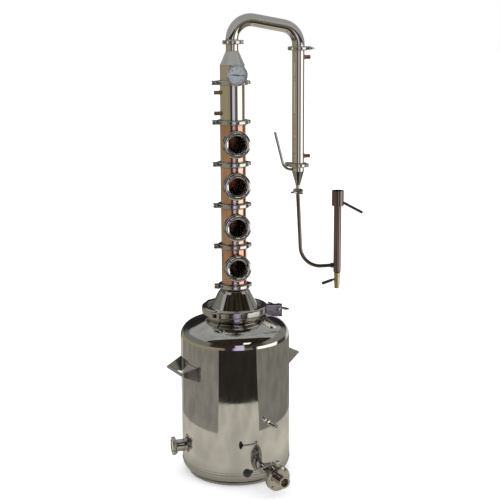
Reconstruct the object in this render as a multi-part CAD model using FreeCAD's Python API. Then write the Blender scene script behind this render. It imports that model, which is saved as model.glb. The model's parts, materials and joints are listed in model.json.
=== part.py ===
import FreeCAD, Part

import math
import os

# Column still: a stainless boiler, four copper plate sections with sight glasses, a dephlegmator,
# a two-inch lyne arm, a shell-and-tube condenser and a proofing parrot, held by tri-clamp joints.
# Millimetres. The origin is the centre of the boiler's flat bottom, +Z is up the column, -Y is the
# side with the sight glasses, and +X is the side with the condenser.

V = FreeCAD.Vector
X_DIR = V(1, 0, 0)
Y_DIR = V(0, 1, 0)
Z_DIR = V(0, 0, 1)

# Fits
FIXED_GAP = 0.1        # radial gap of pressed, brazed and pinned pieces that don't move
RUNNING_GAP = 0.05     # radial gap of shafts, stems and nuts that turn
FACE_GAP = 0.2         # gap between flat faces that slide past each other

# Boiler
BOILER_R = 230.0
BOILER_WALL = 2.0
DISC_R = 205.0
DISC_T = 12.0
SEAM_Z = 54.0
PAN_BEND_R = 41.0
SHOULDER_Z = 594.0
KNUCKLE_R = 60.0
SHOULDER_SLOPE = 20.0
NECK_R = 114.0
NECK_FILLET = 14.0

# Lid and its clamp
LID_JOINT_Z = 709.0
LID_FERRULE_R = 123.0
LID_RING_R = 138.0
LID_BAND_HALF = 17.0
LID_BAND_SOFT = 8.0
LID_CONE_R = 99.0
LID_CONE_Z = 721.0
LID_CREASE_R = 66.5
LID_CREASE_Z = 783.0
LID_NECK_Z = 803.0
LID_CLOSURE_AZ = 75.0
LID_HINGE_AZ = (-47.0, -148.0)
LID_LUG_R = 200.0
LID_LUG_DROP = 32.0
LID_EYE_SIDE = 9.5
LID_BOLT_AT = 184.0
LID_BOLT_R = 6.0
LID_WING_REACH = 48.0
LID_WING_TILT = 19.0
LID_PIN_R = 3.0
LID_PIN_SIDE = 14.0    # from a seam to the pin on each side of it
LID_KNUCKLE_R = 6.0
LID_KNUCKLE_HALF = 8.0
LID_LINK_HALF = 13.0
LID_LINK_REACH = 22.0

# Column
COLUMN_JOINTS = (810.0, 980.0, 1150.0, 1320.0, 1490.0, 1648.0)
COPPER_R = 52.4
COPPER_WALL = 2.0
SECTION_FERRULE = 12.0

# Sight glasses, with depths measured outwards from the column's axis
SIGHT_R = 38.0
SIGHT_WALL = 3.0
SIGHT_THREAD_R = 46.0
SIGHT_SEAT = 66.0
SIGHT_NUT_R = 56.0
SIGHT_VIEW_R = 36.0
SIGHT_NOTCH_HALF = 2.5
SIGHT_NOTCH_DEPTH = 3.0
GLASS_R = 43.0
GLASS_T = 7.0

# Plates
CAP_R = 12.0
CAP_CIRCLE = 25.0
RISER_R = 8.0

# Water stubs
STUB_R = 7.95
STUB_BORE = 6.4
STUB_REACH = 25.0
STUB_COLLAR = 3.0
STUB_COLLAR_R = 10.2
DEPHLEG_STUB_Z = (1526.0, 1609.0)
CONDENSER_STUB_Z = (1342.0, 1745.0)

# Head, arm and condenser
HEAD_CONE_Z = 1718.0
HEAD_NECK_Z = 1773.0
ARM_JOINT_Z = 1807.0
ARM_BEND_Z = 1818.0
ARM_BEND_R = 76.2
ARM_SLOPE = 10.5
ARM_RUN = 124.7
CONDENSER_X = 275.0
CONDENSER_TOP_Z = 1780.0
CONDENSER_BOTTOM_Z = 1305.0

# Thermometer, with depths measured outwards from the column's axis
DIAL_Z = 1680.0
DIAL_R = 42.5
DIAL_BACK = 78.0
DIAL_FACE = 92.0
STEM_R = 4.0
SPINDLE_R = 1.0
NEEDLE_REST = -6.0    # degrees above level at rest

# Outlet
OUTLET_CONE_Z = 1279.0
OUTLET_NECK_Z = 1222.0
OUTLET_JOINT_Z = 1195.0
VENT_R = 5.5
VENT_Z = 1287.0
VENT_BEND_R = 38.0
VENT_LEAN = 14.3
VENT_TOP_Z = 1443.0

# Parrot
DELIVERY_R = 7.9
DELIVERY_WALL = 1.4
DELIVERY_BEND_R = 92.0
DELIVERY_LEAN = 3.0
PARROT_X = 450.0
PARROT_INLET_Z = 869.0
PARROT_R = 15.9
PARROT_WALL = 1.5
PARROT_BOTTOM_Z = 838.0
PARROT_LIP_Z = 1172.0
CUP_R = 25.4
CUP_BOTTOM_Z = 1126.0
CUP_TOP_Z = 1190.0
SPOUT_R = 6.0
SPOUT_REACH = 84.0
SPOUT_DROP = 46.0
PARROT_VALVE_Z = 803.0
NIPPLE_R = 11.0
NIPPLE_END = 35.0
BALL_R = 8.0
BALL_BORE_R = 5.0

# Handles
HANDLE_AZ = {"handle_left": -74.0, "handle_right": 111.0}
HANDLE_GRIP_AT = 282.0
HANDLE_GRIP_HALF = 66.0
HANDLE_FOOT_HALF = 88.0
HANDLE_GRIP_R = 7.0
HANDLE_GRIP_Z = 480.0
HANDLE_TOP_Z = 509.0
HANDLE_BOTTOM_Z = 443.0
HANDLE_SHEET = 3.0

# Ports in the boiler wall
ELEMENT_Z = 120.0
ELEMENT_JOINT = 272.0
PROBE_AZ = 23.0
PROBE_Z = 270.0
PROBE_R = 9.0
PROBE_REACH = 286.0
DRAIN_AZ = 16.5
DRAIN_Z = 77.0
DRAIN_JOINT = 300.0

# Butterfly valve, with depths measured outwards from the boiler's axis
VALVE_MID = 345.0
VALVE_R = 53.0
VALVE_HALF = 13.0
VALVE_FACE = 400.0
VALVE_STEM_R = 5.0
VALVE_STEM_Z = 150.0
LEVER_LENGTH = 142.0
LEVER_FALL = 6.0
KNOB_R = 17.5

# Tri-clamp sizes: tube, bore, ferrule rim, clamp ring and half the clamp band's height
SIZES = {
    "four_inch": {"tube": 50.8, "bore": 48.8, "rim": 59.5, "ring": 67.0, "half": 8.5},
    "two_inch": {"tube": 25.4, "bore": 23.8, "rim": 32.0, "ring": 39.0, "half": 8.0},
    "inch_half": {"tube": 19.05, "bore": 17.4, "rim": 25.25, "ring": 32.5, "half": 7.5},
    "mini": {"tube": 9.5, "bore": 7.9, "rim": 12.5, "ring": 20.0, "half": 9.0},
}
GASKET_HALF = 0.8
RIM_T = 2.0
TAPER = math.tan(math.radians(20.0))

# Clamp hardware, shared by the 4, 2 and 1.5 inch clamps
BOLT_R = 4.0
BOLT_EYE_R = 6.5
BOLT_OFFSET = 9.0      # from the clamp ring's outside to the bolt's axis
LUG_REACH = 17.0
LUG_NEAR = 3.5
LUG_FAR = 12.5
BOLT_TIP = 38.0
NUT_LENGTH = 10.0
NUT_R = 7.0
WING_REACH = 15.0
LINK_PIN_R = 2.2
LINK_HALF = 9.0


def polar(azimuth, radius, z):
    """A point at an azimuth from -Y towards +X, and at a radius from the column's axis."""
    a = math.radians(azimuth)
    return V(radius * math.sin(a), -radius * math.cos(a), z)


def place(shape, origin, z_dir, x_dir):
    """Moves a shape from its own frame to one with the given origin, Z and X directions."""
    y_dir = z_dir.cross(x_dir)
    matrix = FreeCAD.Matrix(
        x_dir.x, y_dir.x, z_dir.x, origin.x,
        x_dir.y, y_dir.y, z_dir.y, origin.y,
        x_dir.z, y_dir.z, z_dir.z, origin.z,
        0, 0, 0, 1)
    moved = shape.copy()
    moved.Placement = FreeCAD.Placement(matrix).multiply(shape.Placement)
    return moved


def turned(points):
    """A solid of revolution about Z from an outline of (r, z) points.

    A point of four numbers is the end of an arc that passes through its last two numbers.
    """
    first = V(points[0][0], 0, points[0][1])
    edges = []
    start = first
    for point in list(points[1:]) + [points[0][:2]]:
        end = V(point[0], 0, point[1])
        if len(point) == 4:
            edges.append(Part.Arc(start, V(point[2], 0, point[3]), end).toShape())
        elif (end - start).Length > 1e-6:
            edges.append(Part.LineSegment(start, end).toShape())
        start = end
    face = Part.Face(Part.Wire(edges))
    return face.revolve(V(0, 0, 0), Z_DIR, 360)


def rod(radius, start, end):
    return Part.makeCylinder(radius, (end - start).Length, start, end - start)


def ring(outer, inner, z_low, z_high):
    solid = Part.makeCylinder(outer, z_high - z_low, V(0, 0, z_low))
    return solid.cut(Part.makeCylinder(inner, z_high - z_low + 2, V(0, 0, z_low - 1)))


def box(x_low, x_high, y_low, y_high, z_low, z_high):
    return Part.makeBox(x_high - x_low, y_high - y_low, z_high - z_low, V(x_low, y_low, z_low))


def plate(points, low, high, normal="z"):
    """A flat plate from an outline of points, between two levels along its normal."""
    places = {
        "x": lambda a, b: V(low, a, b),
        "y": lambda a, b: V(a, low, b),
        "z": lambda a, b: V(a, b, low),
    }
    directions = {"x": X_DIR, "y": Y_DIR, "z": Z_DIR}
    corners = [places[normal](a, b) for a, b in points]
    face = Part.Face(Part.makePolygon(corners + [corners[0]]))
    return face.extrude(directions[normal] * (high - low))


def fuse(first, *others):
    return first.fuse(list(others)).removeSplitter()


def path_wire(start, heading, steps):
    """A wire in the XZ plane of runs and tangent arcs, and its end point and heading.

    The heading is in degrees from +X towards +Z. A step is ("run", length) or
    ("bend", radius, turn), where a positive turn is to the left.
    """
    edges = []
    at = start
    for step in steps:
        h = math.radians(heading)
        ahead = V(math.cos(h), 0, math.sin(h))
        left = V(-math.sin(h), 0, math.cos(h))
        if step[0] == "run":
            end = at + ahead * step[1]
            edges.append(Part.LineSegment(at, end).toShape())
        else:
            radius, turn = step[1], step[2]
            side = 1 if turn > 0 else -1
            centre = at + left * radius * side

            def on_arc(fraction):
                t = math.radians(abs(turn) * fraction)
                return centre - left * radius * side * math.cos(t) + ahead * radius * math.sin(t)

            end = on_arc(1.0)
            edges.append(Part.Arc(at, on_arc(0.5), end).toShape())
            heading += turn
        at = end
    return Part.Wire(edges), at, heading


def pipe_along(wire, outer, inner):
    """A tube of two radii swept along a wire."""
    start = wire.Edges[0].Vertexes[0].Point
    ahead = wire.Edges[0].tangentAt(wire.Edges[0].FirstParameter)
    solids = []
    for radius in (outer, inner):
        circle = Part.Wire(Part.makeCircle(radius, start, ahead))
        solids.append(wire.makePipeShell([circle], True, False))
    return solids[0].cut(solids[1])


def ferrule_outline(size, face, away, length, tube=None, bore=None):
    """The outline of a welded ferrule whose joint face is at z = face; away is +1 or -1."""
    tube = tube or size["tube"]
    bore = bore or size["bore"]
    root = RIM_T + (size["rim"] - tube) * TAPER
    return [
        (bore, face),
        (size["rim"], face),
        (size["rim"], face + away * RIM_T),
        (tube, face + away * root),
        (tube, face + away * length),
        (bore, face + away * length),
    ]


def joint_faces(joint_z):
    return joint_z - GASKET_HALF, joint_z + GASKET_HALF


# ---------------------------------------------------------------- clamps

def clamp_ring(size, half, lip, soft=3.5):
    """The full V-grooved band of a clamp, with rounded outer corners."""
    slack = 0.15
    groove = GASKET_HALF + RIM_T + slack
    rim = size["rim"] + 0.5
    mouth = groove + (rim - lip) * TAPER
    outer = size["ring"]
    bulge = soft * (1 - math.cos(math.radians(45)))
    return turned([
        (lip, -half),
        (outer - soft, -half),
        (outer, -half + soft, outer - bulge, -half + bulge),
        (outer, half - soft),
        (outer - soft, half, outer - bulge, half - bulge),
        (lip, half),
        (lip, mouth),
        (rim, groove),
        (rim, -groove),
        (lip, -mouth),
    ])


def eye_bolt(radius, eye_radius, eye_half, pin_radius, eye_at, tip):
    """A swing bolt along -Y, with an eye about Z at y = eye_at."""
    shank = rod(radius, V(0, eye_at, 0), V(0, -tip, 0))
    eye = Part.makeCylinder(eye_radius, 2 * eye_half, V(0, eye_at, -eye_half))
    hole = Part.makeCylinder(pin_radius + FIXED_GAP, 4 * eye_half, V(0, eye_at, -2 * eye_half))
    return fuse(shank, eye).cut(hole)


def wing_nut(bore, seat, length, collar, reach, thick):
    """A wing nut on the Y axis whose seat faces +Y at y = -seat, with two flared ears."""
    body = Part.makeCone(collar, 0.8 * collar, length, V(0, -seat, 0), V(0, -1, 0))
    low = -seat - 0.3 * length
    high = -seat - 1.9 * length
    ears = []
    for side in (1, -1):
        outline = [
            (side * 0.3 * collar, low),
            (side * (0.64 * reach), low),
            (side * (0.92 * reach), high + 0.25 * (low - high)),
            (side * reach, high + 0.1 * (low - high)),
            (side * 0.94 * reach, high),
            (side * 0.7 * reach, high),
            (side * 0.55 * collar, -seat - length),
        ]
        ears.append(plate(outline, -thick / 2, thick / 2))
    nut = fuse(body, *ears)
    hole = rod(bore, V(0, 1, 0), V(0, high - 5, 0))
    nut = nut.cut(hole)
    return max(nut.Solids, key=lambda solid: solid.Volume)


def clamp_parts(size):
    """Two hinged halves, link, three pins, swing bolt and wing nut, in the clamp's own frame.

    Z is the pipe's axis, the hinge link is on +X and the bolt on -X, and the nut is towards -Y.
    """
    half = size["half"]
    outer = size["ring"]
    bolt_x = -(outer + (BOLT_OFFSET if size["rim"] > 20 else 7.5))
    lug_x = -(outer + (LUG_REACH if size["rim"] > 20 else 13.5))
    pin_x = outer + 2.0
    lip = size["tube"] + 0.35 * (size["rim"] - size["tube"])
    band = clamp_ring(size, half, lip)
    far = outer + 60
    halves = []
    for side in (1, -1):
        keep = box(-far, far, LUG_NEAR, far, -half, half)
        lug = box(lug_x, -outer + 5, LUG_NEAR, LUG_FAR, -half, half)
        knuckle = Part.makeCylinder(4.5, 8.0, V(pin_x, LINK_HALF, -4))
        bridge = box(outer - 4, pin_x, LINK_HALF - 4.5, LINK_HALF + 4.5, -4, 4)
        body = band.common(keep).fuse([lug, knuckle, bridge])
        slot = box(lug_x - 1, bolt_x + BOLT_EYE_R + 1, LUG_NEAR - 1, LUG_FAR + 1, -4.4, 4.4)
        clear = clamp_clearance(size)
        pin_hole = rod(LINK_PIN_R + FIXED_GAP, V(pin_x, LINK_HALF, -20), V(pin_x, LINK_HALF, 20))
        eye_hole = rod(LINK_PIN_R + FIXED_GAP, V(bolt_x, 8, -20), V(bolt_x, 8, 20))
        cuts = [slot, clear, pin_hole] + ([eye_hole] if side == 1 else [])
        body = body.cut(cuts).removeSplitter()
        body = max(body.Solids, key=lambda solid: solid.Volume)
        halves.append(body if side == 1 else body.mirror(V(0, 0, 0), Y_DIR))

    stadium = [box(pin_x - 4.5, pin_x + 4.5, -LINK_HALF, LINK_HALF, 4.2, 6.4)]
    for y in (-LINK_HALF, LINK_HALF):
        stadium.append(Part.makeCylinder(4.5, 2.2, V(pin_x, y, 4.2)))
    upper = fuse(*stadium)
    lower = upper.mirror(V(0, 0, 0), Z_DIR)
    backs = []
    for y in (-3.5, 1.0):
        backs.append(box(pin_x + 2.0, pin_x + 4.5, y, y + 2.5, -6.4, 6.4))
    link = fuse(upper, lower, *backs)
    for y in (-LINK_HALF, LINK_HALF):
        link = link.cut(rod(LINK_PIN_R + FIXED_GAP, V(pin_x, y, -20), V(pin_x, y, 20)))
        link = link.cut(ring(outer + 0.2, 1.0, -9, 9))
    pins = [rod(LINK_PIN_R, V(pin_x, y, -7.6), V(pin_x, y, 7.6)) for y in (-LINK_HALF, LINK_HALF)]
    pins.append(rod(LINK_PIN_R, V(bolt_x, 8, -half), V(bolt_x, 8, half)))
    bolt = eye_bolt(BOLT_R, BOLT_EYE_R, 4.1, LINK_PIN_R, 8.0, BOLT_TIP).translate(V(bolt_x, 0, 0))
    nut = wing_nut(BOLT_R + RUNNING_GAP, LUG_FAR + FACE_GAP, NUT_LENGTH, NUT_R, WING_REACH, 4.0)
    nut.translate(V(bolt_x, 0, 0))
    return {"halves": halves, "links": [link], "pins": pins, "bolts": [bolt], "nuts": [nut]}


def clamp_clearance(size):
    """The space of the two ferrules and the gasket, which every clamp piece keeps out of."""
    slack = 0.15
    groove = GASKET_HALF + RIM_T + slack
    rim = size["rim"] + 0.5
    tube = size["tube"] + 0.5
    root = groove + (rim - tube) * TAPER
    return turned([
        (0, -30), (tube, -30), (tube, -root), (rim, -groove),
        (rim, groove), (tube, root), (tube, 30), (0, 30)])


def lid_clamp_parts():
    """Three V-grooved segments, two links, five pins, a large swing bolt and its wing nut."""
    size = {"tube": NECK_R, "rim": LID_FERRULE_R, "ring": LID_RING_R}
    lip = NECK_R + 3.0
    band = clamp_ring(size, LID_BAND_HALF, lip, soft=LID_BAND_SOFT)
    half_gap = math.degrees(5.0 / LID_RING_R)
    seams = sorted([LID_CLOSURE_AZ] + list(LID_HINGE_AZ))
    pin_at = LID_RING_R + 3.0
    parts = {"segments": [], "links": [], "pins": [], "bolts": [], "nuts": []}
    for index, start in enumerate(seams):
        end = seams[(index + 1) % 3]
        sweep = (end - start) % 360 - 2 * half_gap
        wedge = Part.makeCylinder(400, 60, V(0, 0, -30), Z_DIR, sweep)
        wedge.rotate(V(0, 0, 0), Z_DIR, start + half_gap - 90)
        segment = band.common(wedge)
        extras = []
        holes = []
        for seam, side in ((start, 1), (end, -1)):
            if seam == LID_CLOSURE_AZ:
                lug = box(LID_RING_R - 6, LID_LUG_R, 5, 14, -LID_LUG_DROP, LID_BAND_HALF)
                slot = box(LID_BOLT_AT - 10, LID_LUG_R + 1, 4, 15, -6.8, 6.8)
                lug = lug.cut(slot)
                if side == -1:
                    lug = lug.mirror(V(0, 0, 0), Y_DIR)
                    holes.append(seam_turn(closure_pin(LID_PIN_R + FIXED_GAP, 1.0), seam))
                extras.append(seam_turn(lug, seam))
            else:
                y = LID_PIN_SIDE * side
                half = LID_KNUCKLE_HALF
                knuckle = Part.makeCylinder(LID_KNUCKLE_R, 2 * half, V(pin_at, y, -half))
                bridge = box(LID_RING_R - 5, pin_at, y - 5.5, y + 5.5, -half, half)
                pin_hole = rod(LID_PIN_R + FIXED_GAP, V(pin_at, y, -20), V(pin_at, y, 20))
                extras += [seam_turn(knuckle, seam), seam_turn(bridge, seam)]
                holes.append(seam_turn(pin_hole, seam))
        segment = segment.fuse(extras).cut(holes + [clamp_clearance(size)]).removeSplitter()
        parts["segments"].append(max(segment.Solids, key=lambda solid: solid.Volume))
    for seam in LID_HINGE_AZ:
        frame, pins = lid_link(pin_at)
        parts["links"].append(seam_turn(frame, seam))
        parts["pins"] += [seam_turn(pin, seam) for pin in pins]
    bolt = eye_bolt(LID_BOLT_R, 9.5, 6.3, LID_PIN_R, LID_EYE_SIDE, 66.0)
    nut = wing_nut(LID_BOLT_R + RUNNING_GAP, 14 + FACE_GAP, 16.0, 11.0, LID_WING_REACH, 6.0)
    nut = nut.rotated(V(0, 0, 0), Y_DIR, LID_WING_TILT)
    bolt, nut = [shape.mirror(V(0, 0, 0), Y_DIR).translate(V(LID_BOLT_AT, 0, 0)) for shape in (bolt, nut)]
    parts["pins"].append(seam_turn(closure_pin(LID_PIN_R, 0.0), LID_CLOSURE_AZ))
    parts["bolts"].append(seam_turn(bolt, LID_CLOSURE_AZ))
    parts["nuts"].append(seam_turn(nut, LID_CLOSURE_AZ))
    return {
        name: [solid.translated(V(0, 0, LID_JOINT_Z)) for solid in solids]
        for name, solids in parts.items()}


def closure_pin(radius, past):
    """The upright pin through the front lug of a closure on +X, reaching past its two ends."""
    low, high = -LID_LUG_DROP - past, LID_BAND_HALF + past
    return rod(radius, V(LID_BOLT_AT, -LID_EYE_SIDE, low), V(LID_BOLT_AT, -LID_EYE_SIDE, high))


def lid_link(pin_at):
    """The open rectangular link over a hinge seam on +X, and its two pins."""
    reach, half = LID_LINK_REACH, LID_LINK_HALF
    gap = LID_KNUCKLE_HALF + 0.3
    front = pin_at + 3.5
    back = pin_at + LID_KNUCKLE_R
    frame = box(pin_at - LID_KNUCKLE_R, back, -reach, reach, -half, half)
    frame = frame.cut(box(pin_at - 7, pin_at + 7, -reach - 1, reach + 1, -gap, gap))
    bars = [box(front, back, y - 3, y + 3, -half, half) for y in (3 - reach, reach - 3)]
    frame = frame.fuse(bars)
    pins = []
    for y in (-LID_PIN_SIDE, LID_PIN_SIDE):
        frame = frame.cut(rod(LID_PIN_R + FIXED_GAP, V(pin_at, y, -20), V(pin_at, y, 20)))
        frame = frame.cut(rod(LID_KNUCKLE_R + 0.3, V(pin_at, y, -gap), V(pin_at, y, gap)))
        pins.append(rod(LID_PIN_R, V(pin_at, y, -half - 2), V(pin_at, y, half + 2)))
    frame = frame.cut(ring(LID_RING_R + FACE_GAP, 1.0, -20, 20)).removeSplitter()
    return frame, pins


def seam_turn(shape, azimuth):
    """Turns a shape made on +X to an azimuth measured from -Y towards +X."""
    return shape.rotated(V(0, 0, 0), Z_DIR, azimuth - 90)


def ground_dir(azimuth):
    return polar(azimuth, 1.0, 0.0)


def side_dir(angle):
    """A horizontal direction at an angle from +X towards +Y."""
    a = math.radians(angle)
    return V(math.cos(a), math.sin(a), 0)


def clamp_joints():
    """Every clamped joint: group, size, position, pipe axis, and the hinge side's direction."""
    drain = ground_dir(DRAIN_AZ)
    joints = []
    for z in COLUMN_JOINTS:
        joints.append(("column", "four_inch", V(0, 0, z), Z_DIR, X_DIR))
    joints += [
        ("pipe", "two_inch", V(0, 0, ARM_JOINT_Z), Z_DIR, side_dir(215)),
        ("pipe", "two_inch", V(CONDENSER_X, 0, CONDENSER_TOP_Z), -Z_DIR, side_dir(200)),
        ("pipe", "two_inch", V(CONDENSER_X, 0, CONDENSER_BOTTOM_Z), -Z_DIR, side_dir(-40)),
        ("pipe", "two_inch", V(-ELEMENT_JOINT, 0, ELEMENT_Z), -X_DIR, Y_DIR),
        ("pipe", "inch_half", polar(DRAIN_AZ, DRAIN_JOINT, DRAIN_Z), drain, -Z_DIR),
        ("outlet", "mini", V(CONDENSER_X, 0, OUTLET_JOINT_Z), -Z_DIR, Y_DIR),
    ]
    return joints


def build_clamps(save):
    made = {size: clamp_parts(SIZES[size]) for size in SIZES}
    groups = {"links": [], "pins": [], "bolts": []}
    halves = {"column": [], "pipe": [], "outlet": []}
    counts = {"column": 0, "pipe": 0, "outlet": 0}
    for group, size, origin, z_dir, x_dir in clamp_joints():
        parts = made[size]
        halves[group] += [place(s, origin, z_dir, x_dir) for s in parts["halves"]]
        for name in groups:
            groups[name] += [place(s, origin, z_dir, x_dir) for s in parts[name]]
        counts[group] += 1
        nut = place(parts["nuts"][0], origin, z_dir, x_dir)
        number = "" if group == "outlet" else "_%d" % counts[group]
        save("%s_wing_nut%s" % (group, number), nut)
    lid = lid_clamp_parts()
    save("lid_clamp_segments", *lid["segments"])
    save("lid_clamp_bolt", *lid["bolts"])
    save("lid_wing_nut", *lid["nuts"])
    for group, solids in halves.items():
        save("%s_clamp_halves" % group, *solids)
    save("clamp_links", *(groups["links"] + lid["links"]))
    save("clamp_pins", *(groups["pins"] + lid["pins"]))
    save("clamp_bolts", *groups["bolts"])


def build_gaskets(save):
    rings = []
    for group, name, origin, z_dir, x_dir in clamp_joints():
        size = SIZES[name]
        bore = size["bore"] + 0.6
        if group == "column" and origin.z < COLUMN_JOINTS[4]:
            bore = 50.0
        flat = ring(size["rim"] - 0.5, bore, -GASKET_HALF, GASKET_HALF)
        rings.append(place(flat, origin, z_dir, x_dir))
    lid = ring(LID_FERRULE_R - 0.5, NECK_R - BOILER_WALL + 0.5, -GASKET_HALF, GASKET_HALF)
    rings.append(lid.translated(V(0, 0, LID_JOINT_Z)))
    save("joint_gaskets", *rings)


# ---------------------------------------------------------------- boiler

def shoulder_outline(offset):
    """The boiler's shoulder from the wall to the neck, as an outline offset inwards."""
    slope = math.radians(SHOULDER_SLOPE)
    centre_r = BOILER_R - KNUCKLE_R
    knuckle = KNUCKLE_R - offset
    fillet = NECK_FILLET + offset
    normal = (math.sin(slope), math.cos(slope))
    end = (centre_r + knuckle * normal[0], SHOULDER_Z + knuckle * normal[1])
    half = math.radians(90 - SHOULDER_SLOPE) / 2
    middle = (centre_r + knuckle * math.cos(half), SHOULDER_Z + knuckle * math.sin(half))
    fillet_r = NECK_R + NECK_FILLET
    fillet_z = end[1] + (fillet - (fillet_r - end[0]) * normal[0]) / normal[1]
    foot = (fillet_r - fillet * normal[0], fillet_z - fillet * normal[1])
    half = math.radians(180 + (90 - SHOULDER_SLOPE) / 2)
    turn = (fillet_r + fillet * math.cos(half), fillet_z + fillet * math.sin(half))
    return [
        (BOILER_R - offset, SHOULDER_Z),
        end + middle,
        foot,
        (NECK_R - offset, fillet_z) + turn,
    ]


def build_boiler(save):
    low = joint_faces(LID_JOINT_Z)[0]
    root = low - RIM_T - (LID_FERRULE_R - NECK_R) * TAPER
    outside = shoulder_outline(0.0)
    inside = shoulder_outline(BOILER_WALL)
    first = inside[0]
    inside_back = [
        inside[3][:2],
        inside[2][:2] + inside[3][2:],
        inside[1][:2],
        first + inside[1][2:],
    ]
    shell = turned(
        [(BOILER_R, SEAM_Z)] + outside
        + [(NECK_R, root), (LID_FERRULE_R, low - RIM_T), (LID_FERRULE_R, low),
           (NECK_R - BOILER_WALL, low)]
        + inside_back + [(BOILER_R - BOILER_WALL, SEAM_Z)])
    element = SIZES["two_inch"]
    drain = SIZES["inch_half"]
    bores = (
        (element["tube"], polar(-90, 0, ELEMENT_Z), polar(-90, BOILER_R + 20, ELEMENT_Z)),
        (PROBE_R, polar(PROBE_AZ, 100, PROBE_Z), polar(PROBE_AZ, BOILER_R + 20, PROBE_Z)),
        (drain["tube"], polar(DRAIN_AZ, 100, DRAIN_Z), polar(DRAIN_AZ, BOILER_R + 20, DRAIN_Z)),
    )
    for radius, start, end in bores:
        shell = shell.cut(rod(radius + FIXED_GAP, start, end))
    save("boiler_shell", shell)

    # The base pan curves in below the seam and stands on a thick heating disc.
    pan_r = BOILER_R
    bend = PAN_BEND_R
    tuck = bend * (1 - math.cos(math.radians(45)))
    wall = BOILER_WALL
    pan = turned([
        (0, DISC_T),
        (pan_r - bend, DISC_T),
        (pan_r, DISC_T + bend, pan_r - tuck, DISC_T + tuck),
        (pan_r, SEAM_Z),
        (pan_r - wall, SEAM_Z),
        (pan_r - wall, DISC_T + bend),
        (pan_r - bend, DISC_T + wall, pan_r - wall - tuck + 0.6, DISC_T + wall + tuck - 0.6),
        (0, DISC_T + wall),
    ])
    disc = turned([
        (0, 0),
        (DISC_R - 4, 0),
        (DISC_R, 4, DISC_R - 1.2, 1.2),
        (DISC_R, DISC_T - 3),
        (DISC_R - 3, DISC_T),
        (0, DISC_T),
    ])
    disc = disc.cut(pan)
    save("boiler_base", pan, disc)

    # Welded ports: the heating element's, the probe's and the drain's.
    inner = Part.makeCylinder(BOILER_R - BOILER_WALL, 800)
    ports = []
    for size, joint, origin, z_dir, x_dir in (
            (element, ELEMENT_JOINT, V(0, 0, ELEMENT_Z), -X_DIR, Y_DIR),
            (drain, DRAIN_JOINT, V(0, 0, DRAIN_Z), ground_dir(DRAIN_AZ), -Z_DIR)):
        face = joint - GASKET_HALF
        port = turned(ferrule_outline(size, face, -1, face - 215))
        ports.append(place(port, origin, z_dir, x_dir).cut(inner))
    nipple = ring(PROBE_R, PROBE_R - 2.0, 215, PROBE_REACH - 10)
    hexagon = [
        (11.5 * math.cos(math.radians(60 * i)), 11.5 * math.sin(math.radians(60 * i)))
        for i in range(6)]
    collar = plate(hexagon, BOILER_R + 8, BOILER_R + 15)
    collar = collar.cut(Part.makeCylinder(PROBE_R - 1, 60, V(0, 0, BOILER_R - 5)))
    nipple = fuse(nipple, collar)
    nipple = place(nipple, V(0, 0, PROBE_Z), ground_dir(PROBE_AZ), -Z_DIR).cut(inner)
    ports.append(nipple)
    save("boiler_ports", *ports)

    # The element port's blind cap and the probe port's plug.
    cap_size = SIZES["two_inch"]
    low_face = GASKET_HALF
    cap = turned([
        (0, low_face + 1.6),
        (cap_size["bore"] - 4, low_face + 1.6),
        (cap_size["bore"] - 2, low_face),
        (cap_size["rim"], low_face),
        (cap_size["rim"], low_face + RIM_T),
        (cap_size["tube"], low_face + RIM_T + (cap_size["rim"] - cap_size["tube"]) * TAPER),
        (cap_size["tube"] - 3, low_face + 5.2),
        (0, low_face + 5.2),
    ])
    cap = place(cap, V(-ELEMENT_JOINT, 0, ELEMENT_Z), -X_DIR, Y_DIR)
    reach = PROBE_REACH - 10
    plug = turned([
        (0, reach - 12),
        (PROBE_R - 2.0 - FIXED_GAP, reach - 12),
        (PROBE_R - 2.0 - FIXED_GAP, reach),
        (PROBE_R + 1.2, reach),
        (PROBE_R + 1.2, reach + 7),
        (PROBE_R - 0.8, reach + 10, PROBE_R + 0.6, reach + 9),
        (0, reach + 10),
    ])
    plug = place(plug, V(0, 0, PROBE_Z), ground_dir(PROBE_AZ), -Z_DIR)
    save("port_caps", cap, plug)


def build_handles(save):
    """A folded sheet grip with two splayed wedge legs, welded to the boiler's wall."""
    drum = Part.makeCylinder(BOILER_R, 800)
    for name, azimuth in HANDLE_AZ.items():
        solids = []
        for side in (1, -1):
            foot = V(200, side * (HANDLE_FOOT_HALF + 4), 0)
            grip = V(HANDLE_GRIP_AT, side * HANDLE_GRIP_HALF, 0)
            along = grip - foot
            across = V(-along.y, along.x, 0).normalize() * (HANDLE_SHEET / 2)
            corners = [
                (foot, HANDLE_BOTTOM_Z - 6),
                (grip, HANDLE_GRIP_Z - HANDLE_GRIP_R),
                (grip, HANDLE_GRIP_Z + HANDLE_GRIP_R),
                (foot, HANDLE_TOP_Z + 6),
            ]
            points = [V(p.x, p.y, z) - across for p, z in corners]
            face = Part.Face(Part.makePolygon(points + [points[0]]))
            solids.append(face.extrude(across * 2))
        for side in (1, -1):
            end = V(HANDLE_GRIP_AT, side * HANDLE_GRIP_HALF, HANDLE_GRIP_Z)
            solids.append(Part.makeSphere(HANDLE_GRIP_R, end))
        start = V(HANDLE_GRIP_AT, -HANDLE_GRIP_HALF, HANDLE_GRIP_Z)
        bar = rod(HANDLE_GRIP_R, start, start + V(0, 2 * HANDLE_GRIP_HALF, 0))
        handle = fuse(bar, *solids)
        handle = seam_turn(handle, azimuth).cut(drum)
        save(name, max(handle.Solids, key=lambda solid: solid.Volume))


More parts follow.
